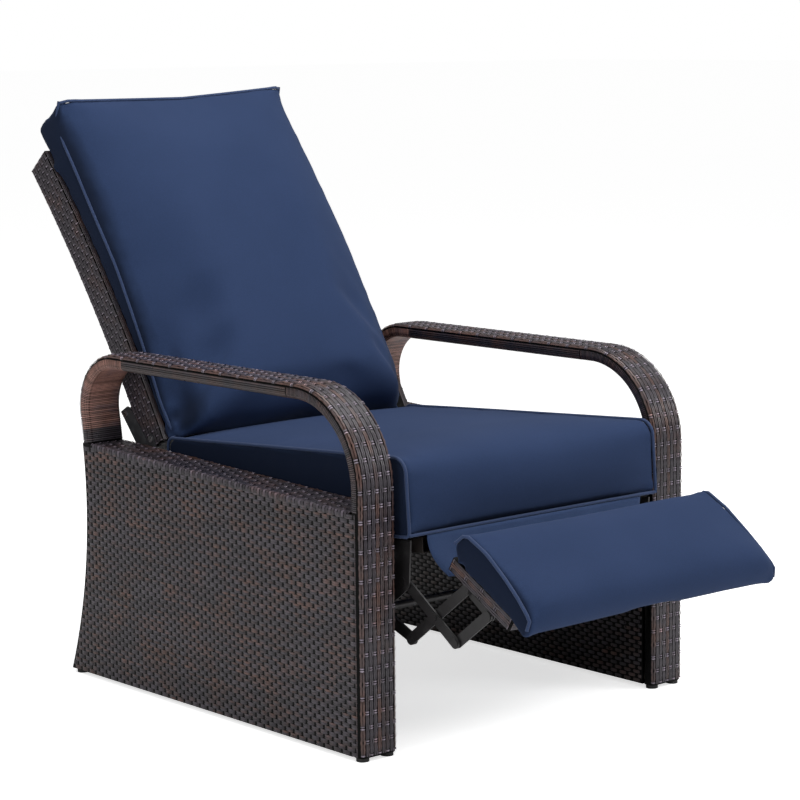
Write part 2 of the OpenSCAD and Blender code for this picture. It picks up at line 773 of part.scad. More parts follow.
// The pins that stay with the chair's base: lift link pivots and back hinges
module fixed_pivot_pins() {
    color(zinc) centred() both() {
        headed_pin(lift_base, layer(-1), layer(0) + plate_t, pin_r, head_r);
        rod(hinge, layer(3) - head_t, layer(4) + plate_t, hinge_r);
        rod(hinge, layer(3) - head_t, layer(3), hinge_head_r);
        rod(hinge, layer(3) + plate_t, layer(4), hinge_head_r);
    }
}

// A block between two radii and two stations of the back
module back_block(s0, s1, h0, h1, x0, x1) {
    translate([0, back_c[0], back_c[1]]) rotate([90, 0, 90]) rotate([0, 0, 180 - lean_at(s1)])
        rotate_extrude(angle = lean_at(s1) - lean_at(s0), $fn = long_fn)
        translate([back_r + h0, x0]) square([h1 - h0, x1 - x0]);
}

module back_tube(x, r) {
    translate([0, back_c[0], back_c[1]]) rotate([90, 0, 90]) rotate([0, 0, 180 - lean_at(back_tube_top)])
        rotate_extrude(angle = lean_at(back_tube_top) - lean_at(back_tube_s), $fn = long_fn)
        translate([back_r + back_tube_h, x]) circle(r);
}

back_rail_shares = [0, 0.315, 0.645, 1];
bracket_screw_s = back_start * 1.5;
bracket_screw_h = back_tube_h * 1.07;
rear_screw_shares = [0.2, 0.75];
flange_s = [back_start * 2.7, back_start * 3.75];

module back_frame() {
    rail_half = back_w / 2 - weave_t - slip;
    side_r = back_tube_r * rail_share;
    color(steel) centred() difference() {
        union() {
            for (x = [-back_tube_x, back_tube_x]) {
                back_tube(x, side_r);
            }
            for (k = back_rail_shares) {
                p = back_at(mix(back_tube_s, back_tube_top, k), back_tube_h);
                rod(p, -rail_half, rail_half, k == 0 || k == 1 ? back_tube_r : tube_r);
            }
        }
        for (x = [-back_tube_x, back_tube_x]) {
            back_tube(x, side_r - tube_wall);
        }
        for (k = back_rail_shares) {
            p = back_at(mix(back_tube_s, back_tube_top, k), back_tube_h);
            rod(p, -rail_half - over, rail_half + over, (k == 0 || k == 1 ? back_tube_r : tube_r) - tube_wall);
        }
    }
}

module back_wicker() {
    half = back_w / 2;
    in_w = half - weave_t;
    color(wicker) centred() difference() {
        back_block(back_start, back_end, -back_t, -weave_t, -half, half);
        back_block(back_start + weave_t, back_end - weave_t, weave_t - back_t, 0, -in_w, in_w);
        both() {
            rod(back_at(bracket_screw_s, bracket_screw_h), in_w - over, half + over, bolt_r + slip);
            for (k = rear_screw_shares) {
                back_screw(k, back_t + over, back_tube_h, bolt_r + slip);
            }
        }
    }
}

module back_panel() {
    half = back_w / 2;
    color(wicker) centred() back_block(back_start, back_end, -weave_t, 0, -half, half);
}

module back_cushion() {
    points = pad_points(back_pad_w, back_pad_end - back_pad_start, soft_gap, back_pad_t, back_crown, pad_n);
    bent = [for (p = points) let (q = back_at(back_pad_start + p[1], p[2])) [p[0], q[0], q[1]]];
    color(navy) centred() polyhedron(bent, pad_faces(pad_n));
}

// A screw square to the back's rear face, from the depth h0 behind the front face inwards
module back_screw(share, h0, h1, r) {
    s = mix(flange_s[0], flange_s[1], share);
    p = back_at(s, -h0);
    translate([back_tube_x, p[0], p[1]]) rotate([-lean_at(s), 0, 0]) rotate([90, 0, 0])
        cylinder(h = h0 + h1, r = r);
}

module back_bracket(way) {
    edge_low = back_at(back_start * 1.22, -back_t * 0.68);
    edge_top = back_at(back_start * 3.69, -back_t);
    ear_in = back_at(back_start * 3.9, -back_t * 1.12);
    ear_out = back_at(back_start * 3.9, -back_t * 1.5);
    heel = back_at(back_start * 1.9, -back_t * 1.3);
    screw = back_at(bracket_screw_s, bracket_screw_h);
    near = tang(hinge, ear_r, heel, 0, -1);
    tail_r = link_r * 1.3;
    color(zinc) centred() sided(way) difference() {
        union() {
            slab(layer(3), plate_t) difference() {
                union() {
                    link_shape(hinge, tail_tip, tail_r, link_r);
                    link_shape(hinge, screw, ear_r, link_r);
                    polygon([hinge, edge_low, edge_top, ear_in, ear_out, heel, near[0]]);
                }
                holes([hinge], hinge_r + pin_slip);
                holes([tail_tip], pin_r + pin_slip);
                holes([screw, stop_bolt_at], bolt_r + slip);
            }
            back_block(flange_s[0], flange_s[1], -back_t - plate_t, -back_t,
                back_tube_x - back_tube_r, layer(3) + plate_t);
        }
        for (k = rear_screw_shares) {
            back_screw(k, back_t + plate_t + over, back_tube_h, bolt_r + slip);
        }
    }
}

stop_bolt_at = back_at(back_start * 3.62, -back_t * 1.31);

module back_bracket_screws() {
    x = layer(3) + plate_t;
    screw = back_at(bracket_screw_s, bracket_screw_h);
    color(zinc) centred() both() {
        rod(screw, back_w / 2 - weave_t - slip, x + head_t, bolt_r);
        rod(screw, x, x + head_t, bolt_head_r);
        rod(stop_bolt_at, layer(3) - 2 * plate_t, x + head_t, bolt_r);
        rod(stop_bolt_at, x, x + head_t, bolt_head_r);
        rod(stop_bolt_at, layer(3) - plate_t, layer(3), bolt_head_r);
        for (k = rear_screw_shares) {
            back_screw(k, back_t + plate_t + head_t, -back_t + weave_t, bolt_r);
            back_screw(k, back_t + plate_t + head_t, -back_t - plate_t - pin_slip, bolt_head_r);
        }
    }
}

module lift_link(way) {
    color(steel) centred() sided(way) slab(layer(-1), plate_t) difference() {
        link_shape(lift_base, lift_tip, link_r, link_r);
        holes([lift_base, cross, lift_tip], pin_r + pin_slip);
    }
}

module lift_link_pins() {
    color(zinc) centred() both() for (p = [cross, lift_tip]) {
        headed_pin(p, layer(-2), layer(-1) + plate_t, pin_r, head_r);
    }
}

module scissor_link(way) {
    color(steel) centred() sided(way) slab(layer(-2), plate_t) difference() {
        link_shape(scissor_base, foot_pivot, link_r, link_r);
        holes([scissor_base, cross, foot_pivot], pin_r + pin_slip);
    }
}

module scissor_rivets() {
    color(zinc) centred() both() {
        rod(scissor_base, layer(-2), layer(-2) + plate_t + head_t, pin_r);
        rod(scissor_base, layer(-2) + plate_t, layer(-2) + plate_t + head_t, head_r);
    }
}

module carry_link(way) {
    color(steel) centred() sided(way) slab(layer(-2), plate_t) difference() {
        link_shape(lift_tip, carry_tip, link_r, link_r);
        holes([lift_tip, carry_tip], pin_r + pin_slip);
    }
}

module crank_bar() {
    end = layer(1) + plate_t;
    color(steel) centred() {
        rod(crank_base, -end - head_t, end + head_t, bar_r);
        both() rod(crank_base, end, end + head_t, bar_r * 1.5);
    }
}

module inner_crank(way) {
    color(steel) centred() sided(way) slab(layer(-3), plate_t) difference() {
        link_shape(crank_base, scissor_base, link_r * 1.3, link_r);
        holes([crank_base], bar_r + pin_slip);
        holes([scissor_base], pin_r + pin_slip);
    }
}

module outer_crank(way) {
    color(steel) centred() sided(way) slab(layer(1), plate_t) difference() {
        link_shape(crank_base, crank_tip, link_r * 1.3, link_r);
        holes([crank_base], bar_r + pin_slip);
        holes([crank_tip], pin_r + pin_slip);
    }
}

module crank_rivets() {
    color(zinc) centred() both() {
        rod(scissor_base, layer(-3) - head_t, layer(-3) + plate_t, pin_r);
        rod(scissor_base, layer(-3) - head_t, layer(-3), head_r);
        rod(crank_tip, layer(1) - head_t, layer(1) + plate_t, pin_r);
        rod(crank_tip, layer(1) - head_t, layer(1), head_r);
    }
}

module drive_rod(way) {
    color(steel) centred() sided(way) slab(layer(2), plate_t) difference() {
        link_shape(tail_tip, crank_tip, link_r, link_r);
        holes([tail_tip, crank_tip], pin_r + pin_slip);
    }
}

module drive_rod_pins() {
    color(zinc) centred() both() {
        headed_pin(tail_tip, layer(2), layer(3) + plate_t, pin_r, head_r);
        rod(crank_tip, layer(2), layer(2) + plate_t + head_t, pin_r);
        rod(crank_tip, layer(2) + plate_t, layer(2) + plate_t + head_t, head_r);
    }
}

module foot_space() {
    translate([0, -foot_rear, foot_z]) rotate([foot_slope, 0, 0]) children();
}

foot_cross_s = [foot_start + weave_t + slip + tube_r, foot_end - weave_t - slip - tube_r];
foot_side_x = foot_frame_w / 2 - weave_t - slip - tube_r;
foot_rail_x = layer(-3) - tube_r - seat_tube_wall * 3;
foot_screw_shares = [0.12, 0.72];

module foot_tubes(r, r_side, half) {
    for (s = foot_cross_s) {
        translate([-half, -s, foot_tube_h]) rotate([0, 90, 0]) cylinder(h = 2 * half, r = r);
    }
    for (x = [-foot_side_x, -foot_rail_x, foot_rail_x, foot_side_x]) {
        translate([x, -foot_cross_s[0], foot_tube_h]) rotate([90, 0, 0])
            cylinder(h = foot_cross_s[1] - foot_cross_s[0], r = r_side);
    }
}

module foot_screws(h0, h1, r) {
    for (x = [-foot_rail_x, foot_rail_x], k = foot_screw_shares) {
        translate([x, -mix(foot_cross_s[0], foot_cross_s[1], k), h0]) cylinder(h = h1 - h0, r = r);
    }
}

module footrest_frame() {
    half = foot_frame_w / 2 - weave_t - slip;
    color(steel) centred() foot_space() difference() {
        foot_tubes(tube_r, rail_r, half);
        foot_tubes(bore_r, rail_bore_r, half + over);
        foot_screws(foot_under, foot_tube_h, bolt_r + slip);
    }
}

module footrest_wicker() {
    half = foot_frame_w / 2;
    color(wicker) centred() foot_space() difference() {
        translate([-half, -foot_end, foot_under]) cube([2 * half, foot_frame_l, foot_frame_t - weave_t]);
        translate([weave_t - half, weave_t - foot_end, foot_under + weave_t])
            cube([2 * half - 2 * weave_t, foot_frame_l - 2 * weave_t, foot_frame_t]);
        foot_screws(foot_under - over, foot_tube_h, bolt_r + slip);
    }
}

module footrest_deck() {
    half = foot_frame_w / 2;
    color(wicker) centred() foot_space() translate([-half, -foot_end, foot_top - weave_t])
        cube([2 * half, foot_frame_l, weave_t]);
}

module footrest_cushion() {
    color(navy) centred() foot_space() translate([0, -foot_l, 0])
        polyhedron(pad_points(foot_w, foot_l, -foot_t, foot_t, foot_crown, pad_n), pad_faces(pad_n));
}

module footrest_bracket(way) {
    s0 = foot_l * 0.15;
    s1 = foot_l * 0.7;
    flange_w = 2 * tube_r + seat_tube_wall * 4 + plate_t;
    color(steel) centred() sided(way) difference() {
        union() {
            slab(layer(-3), plate_t) difference() {
                union() {
                    link_shape(foot_pivot, carry_tip, link_r, link_r);
                    polygon([
                        foot_at(s0, foot_under), foot_pivot + [link_r, 0], foot_pivot, carry_tip,
                        carry_tip - [link_r, 0], foot_at(s1, foot_under)
                    ]);
                }
                holes([foot_pivot, carry_tip], pin_r + pin_slip);
            }
            foot_space() translate([layer(-3) + plate_t - flange_w, -s1, foot_under - plate_t])
                cube([flange_w, s1 - s0, plate_t]);
        }
        foot_space() foot_screws(foot_under - plate_t - over, foot_tube_h, bolt_r + slip);
    }
}

module footrest_pins() {
    color(zinc) centred() both() for (p = [foot_pivot, carry_tip]) {
        headed_pin(p, layer(-3), layer(-2) + plate_t, pin_r, head_r);
    }
}

module footrest_screws() {
    under = foot_under - plate_t;
    color(zinc) centred() foot_space() {
        foot_screws(under - head_t, foot_under + 2 * weave_t, bolt_r);
        foot_screws(under - head_t, under, bolt_head_r);
    }
}

union() {  // arm_tubes_left
    arm_tubes(-1);
}
union() {  // arm_tubes_right
    arm_tubes(1);
}
union() {  // side_frame_left
    side_frame(-1);
}
union() {  // side_frame_right
    side_frame(1);
}
union() {  // panel_rails_left
    panel_rails(-1);
}
union() {  // panel_rails_right
    panel_rails(1);
}
union() {  // arm_wicker_left
    arm_wicker(-1);
}
union() {  // arm_wicker_right
    arm_wicker(1);
}
union() {  // upright_wicker_left
    upright_wicker(-1);
}
union() {  // upright_wicker_right
    upright_wicker(1);
}
union() {  // panel_wicker_left
    panel_wicker(-1);
}
union() {  // panel_wicker_right
    panel_wicker(1);
}
union() {  // panel_liner_left
    panel_liner(-1);
}
union() {  // panel_liner_right
    panel_liner(1);
}
union() {
    foot_glides();
}
union() {
    rear_stretcher();
}
union() {  // mechanism_plate_left
    mechanism_plate(-1);
}
union() {  // mechanism_plate_right
    mechanism_plate(1);
}
union() {  // hinge_plate_left
    hinge_plate(-1);
}
union() {  // hinge_plate_right
    hinge_plate(1);
}
union() {
    mechanism_bolts();
}
union() {
    hinge_bolts();
}
union() {
    seat_frame();
}
union() {
    seat_deck();
}
union() {
    seat_cushion();
}
union() {
    seat_flap();
}
union() {
    fixed_pivot_pins();
}
union() {
    back_frame();
}
union() {
    back_wicker();
}
union() {
    back_panel();
}
union() {
    back_cushion();
}
union() {  // back_bracket_left
    back_bracket(-1);
}
union() {  // back_bracket_right
    back_bracket(1);
}
union() {
    back_bracket_screws();
}
union() {  // lift_link_left
    lift_link(-1);
}
union() {  // lift_link_right
    lift_link(1);
}
union() {
    lift_link_pins();
}
union() {  // scissor_link_left
    scissor_link(-1);
}
union() {  // scissor_link_right
    scissor_link(1);
}
union() {
    scissor_rivets();
}
union() {  // carry_link_left
    carry_link(-1);
}
union() {  // carry_link_right
    carry_link(1);
}
union() {
    crank_bar();
}
union() {  // inner_crank_left
    inner_crank(-1);
}
union() {  // inner_crank_right
    inner_crank(1);
}
union() {  // outer_crank_left
    outer_crank(-1);
}
union() {  // outer_crank_right
    outer_crank(1);
}
union() {
    crank_rivets();
}
union() {  // drive_rod_left
    drive_rod(-1);
}
union() {  // drive_rod_right
    drive_rod(1);
}
union() {
    drive_rod_pins();
}
union() {
    footrest_frame();
}
union() {
    footrest_wicker();
}
union() {
    footrest_deck();
}
union() {
    footrest_cushion();
}
union() {  // footrest_bracket_left
    footrest_bracket(-1);
}
union() {  // footrest_bracket_right
    footrest_bracket(1);
}
union() {
    footrest_pins();
}
union() {
    footrest_screws();
}
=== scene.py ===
"""Looks of a reclining patio armchair: woven resin over a bent tube frame, a black
scissor linkage, and three navy cushions with self piping.

Lengths are in mm where nothing else is said. In a point on a surface the last number is
its height over it. way is -1 on the left side of the chair and 1 on the right."""
import json
import math
import random

import bmesh
import bpy
from mathutils import Matrix, Vector, kdtree, noise


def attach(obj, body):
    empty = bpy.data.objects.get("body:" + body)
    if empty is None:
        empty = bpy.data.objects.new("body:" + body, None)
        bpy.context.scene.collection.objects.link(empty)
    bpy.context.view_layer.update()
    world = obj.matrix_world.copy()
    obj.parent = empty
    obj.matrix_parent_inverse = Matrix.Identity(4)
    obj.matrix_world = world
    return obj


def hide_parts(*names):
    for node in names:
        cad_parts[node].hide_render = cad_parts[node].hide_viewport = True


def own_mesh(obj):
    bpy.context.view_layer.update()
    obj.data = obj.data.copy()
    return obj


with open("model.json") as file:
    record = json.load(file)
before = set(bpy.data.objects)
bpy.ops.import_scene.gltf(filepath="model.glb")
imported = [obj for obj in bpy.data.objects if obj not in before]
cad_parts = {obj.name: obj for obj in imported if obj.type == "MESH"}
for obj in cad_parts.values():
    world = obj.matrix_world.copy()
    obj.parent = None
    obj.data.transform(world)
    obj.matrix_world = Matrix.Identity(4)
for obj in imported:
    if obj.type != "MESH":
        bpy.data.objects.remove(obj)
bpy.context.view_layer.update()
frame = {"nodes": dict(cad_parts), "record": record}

MM = 0.001
# The model's middle lies this far behind the datum line
MIDDLE_Y = 13.7446


def place(x, y, z):
    """A point given in mm from the datum line, as the model has it, in metres."""
    return Vector((x * MM, (y - MIDDLE_Y) * MM, z * MM))


def add_object(name, data):
    made = bpy.data.objects.new(name, data)
    bpy.context.collection.objects.link(made)
    return made


def smooth_faces(mesh):
    mesh.polygons.foreach_set("use_smooth", [True] * len(mesh.polygons))


# ---- camera, light and floor

CAMERA_TURN, CAMERA_DIP, CAMERA_ROLL = (math.radians(a) for a in (41.08, 8.27, -0.55))
CAMERA_AT = (-2732, -3157, 1086)
FOCAL_PIXELS, PICTURE_PIXELS, SENSOR = 2552, 800, 36
CLIP_METRES = 200

ROOM_LIGHT, ROOM_SEEN = 0.36, 1.0
# Name, place and aim in metres, size in metres, watts
LAMPS = (
    ("lamp_above", (0.3, -0.5, 3.4), (0, 0, 0.4), (3.0, 3.0), 100),
    ("lamp_front_right", (2.6, -3.0, 2.2), (0, 0, 0.5), (1.6, 1.6), 44),
    ("lamp_left", (-3.4, -0.6, 1.9), (0, 0, 0.5), (1.6, 1.2), 22),
)
FLOOR_METRES, FLOOR_GLOW = 60, 0.66
WHITE = (1, 1, 1, 1)


def set_camera():
    turn, dip, roll = CAMERA_TURN, CAMERA_DIP, CAMERA_ROLL
    back = Vector((-math.sin(turn) * math.cos(dip), -math.cos(turn) * math.cos(dip), math.sin(dip)))
    level = Vector((math.cos(turn), -math.sin(turn), 0))
    rise = back.cross(level)
    right = level * math.cos(roll) + rise * math.sin(roll)
    up = rise * math.cos(roll) - level * math.sin(roll)
    at = place(*CAMERA_AT)
    data = bpy.data.cameras.new("camera")
    data.sensor_width = SENSOR
    data.lens = FOCAL_PIXELS / PICTURE_PIXELS * SENSOR
    data.clip_end = CLIP_METRES
    camera = add_object("camera", data)
    camera.matrix_world = Matrix([
        (right.x, up.x, back.x, at.x),
        (right.y, up.y, back.y, at.y),
        (right.z, up.z, back.z, at.z),
        (0, 0, 0, 1),
    ])
    bpy.context.scene.camera = camera


def soft_lamp(name, at, aim, size, power):
    data = bpy.data.lights.new(name, "AREA")
    data.shape = "RECTANGLE"
    data.size, data.size_y = size
    data.energy = power
    lamp = add_object(name, data)
    lamp.location = at
    lamp.rotation_euler = (Vector(aim) - Vector(at)).to_track_quat("-Z", "Y").to_euler()


def set_light():
    world = bpy.data.worlds.new("white_room")
    bpy.context.scene.world = world
    world.use_nodes = True
    graph = Graph(world.node_tree)
    rays = graph.add("LightPath").outputs
    seen = graph.calc("MAXIMUM", rays["Is Camera Ray"], rays["Is Transmission Ray"])
    strength = graph.span(seen, (0.0, 1.0), (ROOM_LIGHT, ROOM_SEEN))
    sky = graph.add("Background", {"Color": WHITE, "Strength": strength})
    graph.add("OutputWorld", {"Surface": sky.outputs[0]})
    for lamp in LAMPS:
        soft_lamp(*lamp)
    bpy.context.scene.view_settings.view_transform = "Standard"


def lay_floor():
    half = FLOOR_METRES
    mesh = bpy.data.meshes.new("floor")
    mesh.from_pydata([(-half, -half, 0), (half, -half, 0), (half, half, 0), (-half, half, 0)],
                     [], [(0, 1, 2, 3)])
    floor = add_object("floor", mesh)
    mat, graph, shader = new_finish("pale_floor")
    spots = graph.add("TexNoise", {"Scale": 3.0}).outputs["Fac"]
    seen = graph.add("LightPath").outputs["Is Camera Ray"]
    graph.feed(shader, {
        "Roughness": 0.9, "Specular IOR Level": 0.0, "Emission Color": WHITE,
        "Base Color": graph.mix(spots, (0.90, 0.90, 0.90, 1), (0.92, 0.92, 0.92, 1)),
        "Emission Strength": graph.span(seen, (0.0, 1.0), (0.0, FLOOR_GLOW)),
    })
    mesh.materials.append(mat)


# ---- finishes

class Graph:
    """Adds shader nodes to a node tree, which it empties first. The input of a node is
    given a plain value or the output of another node."""

    def __init__(self, tree):
        self.tree, self.nodes, self.links = tree, tree.nodes, tree.links
        self.nodes.clear()

    def feed(self, node, inputs):
        for label, value in inputs.items():
            if isinstance(value, (int, float, tuple)):
                node.inputs[label].default_value = value
            else:
                self.links.new(value, node.inputs[label])

    def add(self, kind, inputs=None, **settings):
        node = self.nodes.new("ShaderNode" + kind)
        for label, value in settings.items():
            setattr(node, label, value)
        self.feed(node, inputs or {})
        return node

    def where(self):
        return self.add("TexCoord").outputs["Object"]

    def attribute(self, name):
        return self.add("Attribute", attribute_name=name).outputs["Fac"]

    def noise(self, where, scale, detail=3.0, rough=0.5):
        inputs = {"Vector": where, "Scale": scale, "Detail": detail, "Roughness": rough}
        return self.add("TexNoise", inputs).outputs["Fac"]

    def mix(self, share, a, b):
        return self.add("Mix", {"Factor": share, "A": a, "B": b}, data_type="RGBA").outputs["Result"]

    def calc(self, what, *values):
        return self.add("Math", dict(enumerate(values)), operation=what).outputs[0]

    def shade(self, colour, level):
        return self.add("VectorMath", {0: colour, "Scale": level}, operation="SCALE").outputs[0]

    def span(self, value, start, end):
        """Maps values from low to high of start to low to high of end."""
        inputs = {"Value": value, "From Min": start[0], "From Max": start[1],
                  "To Min": end[0], "To Max": end[1]}
        return self.add("MapRange", inputs).outputs["Result"]


def new_finish(name):
    mat = bpy.data.materials.new(name)
    mat.use_nodes = True
    graph = Graph(mat.node_tree)
    shader = graph.add("BsdfPrincipled")
    graph.add("OutputMaterial", {"Surface": shader.outputs[0]})
    return mat, graph, shader


def new_group(name, takes):
    """A node group without nodes. takes has its inputs with their start values."""
    tree = bpy.data.node_groups.new(name, "ShaderNodeTree")
    graph = Graph(tree)
    for label, value in takes.items():
        kind = "NodeSocketColor" if isinstance(value, tuple) else "NodeSocketFloat"
        tree.interface.new_socket(label, in_out="INPUT", socket_type=kind).default_value = value
    for label, kind in (("Colour", "NodeSocketColor"), ("Roughness", "NodeSocketFloat"),
                        ("Height", "NodeSocketFloat")):
        tree.interface.new_socket(label, in_out="OUTPUT", socket_type=kind)
    given = tree.nodes.new("NodeGroupInput").outputs
    end = tree.nodes.new("NodeGroupOutput")
    return graph, given, end


def strand_tint_group():
    """Two-tone resin: each strand has its own tone, with painted light and shade along it, and streaks
    along it.
    """
    graph, given, end = new_group("strand_tint", {
        "Charcoal": (0.05, 0.045, 0.05, 1), "Russet": (0.1, 0.05, 0.04, 1), "Russet Share": 0.4,
        "Streak Scale": 60.0})
    where = graph.where()
    patch = graph.noise(where, 22.0, 2.0)
    streak = graph.noise(where, given["Streak Scale"], 3.0, 0.6)
    reddish = graph.calc("MULTIPLY_ADD", patch, 2.6, -1.3)
    reddish = graph.calc("ADD", reddish, given["Russet Share"])
    reddish = graph.calc("ADD", reddish, graph.attribute("russet"))
    share = graph.add("Clamp", {"Value": reddish}).outputs[0]
    colour = graph.mix(share, given["Charcoal"], given["Russet"])
    level = graph.span(streak, (0.3, 0.7), (0.82, 1.18))
    # The tone attribute holds each strand's own tone times the painted light and shade laid along it
    level = graph.calc("MULTIPLY", level, graph.attribute("tone"))
    graph.feed(end, {
        "Colour": graph.shade(colour, level),
        "Roughness": graph.span(streak, (0.3, 0.7), (0.26, 0.44)),
        "Height": streak,
    })
    return graph.tree


def cloth_weave_group():
    """Plain weave of the cushion cover: fine threads, a faint heather, and painted shade on the faces
    that point sideways.
    """
    graph, given, end = new_group("cloth_weave", {
        "Deep": (0.03, 0.05, 0.12, 1), "Lit": (0.05, 0.07, 0.16, 1), "Thread": 2600.0})
    where = graph.where()
    axes = graph.add("SeparateXYZ", {0: where}).outputs
    run = graph.calc("SINE", graph.calc("MULTIPLY", axes["X"], given["Thread"]))
    slope = graph.calc("ADD", axes["Y"], axes["Z"])
    cross = graph.calc("SINE", graph.calc("MULTIPLY", slope, given["Thread"]))
    threads = graph.calc("MULTIPLY", run, cross)
    fine = graph.noise(where, 420.0, 2.0)
    broad = graph.noise(where, 7.0, 3.0)
    heather = graph.calc("MULTIPLY_ADD", fine, 0.6, graph.calc("MULTIPLY", broad, 0.4))
    share = graph.span(heather, (0.38, 0.62), (0.0, 1.0))
    cloth = graph.mix(share, given["Deep"], given["Lit"])
    # Painted shade: the cloth is darkened where the points' normals point sideways
    darker = graph.span(graph.attribute("painted_side_shade"), (0.0, 1.0), (1.0, 0.34))
    graph.feed(end, {
        "Colour": graph.shade(cloth, darker),
        "Roughness": graph.span(fine, (0.3, 0.7), (0.78, 0.92)),
        "Height": graph.calc("MULTIPLY_ADD", threads, 0.5, fine),
    })
    return graph.tree


def metal_wear_group():
    """Coated or plated metal: cloudy coat, fine specks and rubbed spots."""
    graph, given, end = new_group("metal_wear", {
        "Coat": (0.02, 0.02, 0.02, 1), "Rubbed": (0.1, 0.1, 0.1, 1), "Rub": 0.3, "Shine": 0.4,
        "Scale": 40.0})
    where = graph.where()
    cloud = graph.noise(where, given["Scale"], 4.0, 0.6)
    speck = graph.noise(where, 900.0, 2.0)
    rubbed = graph.span(cloud, (0.52, 0.72), (0.0, 1.0))
    rubbed = graph.calc("MULTIPLY", rubbed, given["Rub"])
    spread = graph.span(cloud, (0.3, 0.7), (-0.08, 0.12))
    graph.feed(end, {
        "Colour": graph.mix(rubbed, given["Coat"], given["Rubbed"]),
        "Roughness": graph.calc("ADD", spread, given["Shine"]),
        "Height": speck,
    })
    return graph.tree


def dress(name, group, values, bump, fixed):
    """A material made from one of the groups. bump is the strength and the depth in metres
    of its relief, and fixed has plain shader values."""
    mat, graph, shader = new_finish(name)
    made = graph.add("Group", values, node_tree=group).outputs
    relief = graph.add("Bump", {"Strength": bump[0], "Distance": bump[1], "Height": made["Height"]})
    graph.feed(shader, {
        "Base Color": made["Colour"], "Roughness": made["Roughness"],
        "Normal": relief.outputs["Normal"], **fixed})
    return mat


strand_tint = strand_tint_group()
cloth_weave = cloth_weave_group()
metal_wear = metal_wear_group()


def resin_finish(name, charcoal, russet, streaks, bump, specular):
    values = {"Charcoal": (*charcoal, 1), "Russet": (*russet, 1), "Russet Share": 0.2,
              "Streak Scale": streaks}
    return dress(name, strand_tint, values, bump, {"Specular IOR Level": specular})


def cloth_finish(name, deep, lit, bump, sheen, specular):
    return dress(name, cloth_weave, {"Deep": (*deep, 1), "Lit": (*lit, 1)}, bump,
                 {"Sheen Weight": sheen, "Sheen Roughness": 0.5, "Specular IOR Level": specular})


def metal_finish(name, coat, rubbed, rub, shine, bump, fixed, scale=40.0):
    values = {"Coat": (*coat, 1), "Rubbed": (*rubbed, 1), "Rub": rub, "Shine": shine, "Scale": scale}
    return dress(name, metal_wear, values, bump, fixed)


resin = resin_finish("woven_resin", (0.045, 0.038, 0.047), (0.090, 0.047, 0.038), 70.0,
                     (0.35, 0.0006), 0.5)
# Near black on the woven solids under the strands: painted shade seen through the gaps between strands
painted_gap_shade = resin_finish("painted_gap_shade", (0.006, 0.005, 0.005), (0.01, 0.006, 0.005), 90.0,
                             (0.8, 0.001), 0.1)
cover_cloth = cloth_finish("cushion_cloth", (0.0205, 0.0375, 0.092), (0.025, 0.044, 0.106),
                           (0.25, 0.0004), 0.02, 0.1)
flap_cloth = cloth_finish("flap_cloth", (0.036, 0.062, 0.142), (0.044, 0.073, 0.162),
                          (0.25, 0.0004), 0.02, 0.1)
piping_cloth = cloth_finish("piping_cloth", (0.027, 0.047, 0.112), (0.036, 0.059, 0.134),
                            (0.3, 0.0003), 0.08, 0.25)
link_black = metal_finish("black_satin_coat", (0.017, 0.016, 0.017), (0.06, 0.06, 0.06), 0.35, 0.4,
                          (0.15, 0.0003), {"Specular IOR Level": 0.5})
tube_brown = metal_finish("dark_powder_coat", (0.026, 0.021, 0.019), (0.07, 0.06, 0.055), 0.25, 0.5,
                          (0.3, 0.0004), {"Specular IOR Level": 0.5})
bracket_grey = metal_finish("grey_satin_coat", (0.085, 0.087, 0.095), (0.3, 0.3, 0.32), 0.3, 0.36,
                            (0.12, 0.0003), {"Metallic": 0.6})
zinc = metal_finish("bright_zinc", (0.62, 0.62, 0.64), (0.75, 0.74, 0.72), 0.5, 0.28,
                    (0.1, 0.0002), {"Metallic": 1.0}, scale=160.0)
glide_black = metal_finish("black_moulded_plastic", (0.014, 0.014, 0.014), (0.04, 0.04, 0.04), 0.5,
                           0.55, (0.3, 0.0004), {"Specular IOR Level": 0.4})

FINISHES = {
    "woven_resin": painted_gap_shade, "cushion_fabric": cover_cloth, "flap_fabric": flap_cloth,
    "frame_steel": tube_brown, "link_steel": link_black, "grey_steel": bracket_grey,
    "bright_zinc": zinc, "glide_plastic": glide_black,
}


def finish_cad_parts():
    for sub in frame["record"]["subparts"]:
        mesh = frame["nodes"][sub["node"]].data
        finish = FINISHES[sub["material_slot"]]
        if mesh.materials:
            for i in range(len(mesh.materials)):
                mesh.materials[i] = finish
        else:
            mesh.materials.append(finish)


# ---- woven resin

COURSE_PITCH, STAKE_GAP, COURSE_WIDTH = 7.1, 5.25, 3.45
# Light on a course's strand over a stake, beside it, under it and beside it again
COURSE_LIGHT = (1.25, 0.85, 0.15, 0.85)
SLOPE_SHARE, UNDER_STAKE = 0.68, -0.6
END_HEIGHT, END_LIGHT = -0.5, 0.6

COLUMN_WIDTH = 3.05
# Height, distance from the column's middle, and light of a column's strands: where a cross
# bar holds them down, where none does, and at the three points between those
HELD, FREE = (0.2, 1.25, 0.2), (2.5, 2.15, 1.3)
BETWEEN = ((1.5, 1.6, 0.85), (1.9, 1.75, 1.15), (1.5, 1.6, 0.85))
# Place across the column, height and light along a cross bar
BAR = ((-3.8, -0.6, 0.3), (-2.7, 1.6, 0.7), (0, 2.7, 1.2), (2.7, 1.6, 0.7), (3.8, -0.6, 0.3))
BAR_WIDTH, BAR_GAP, BAR_INSET = 2.0, 3.6, 1.4


def new_net(seed):
    """Strands laid so far: points, faces, and for every point a redness and a tone that holds painted
    light and shade.
    """
    return {"points": [], "faces": [], "tone": [], "russet": [], "chance": random.Random(seed)}


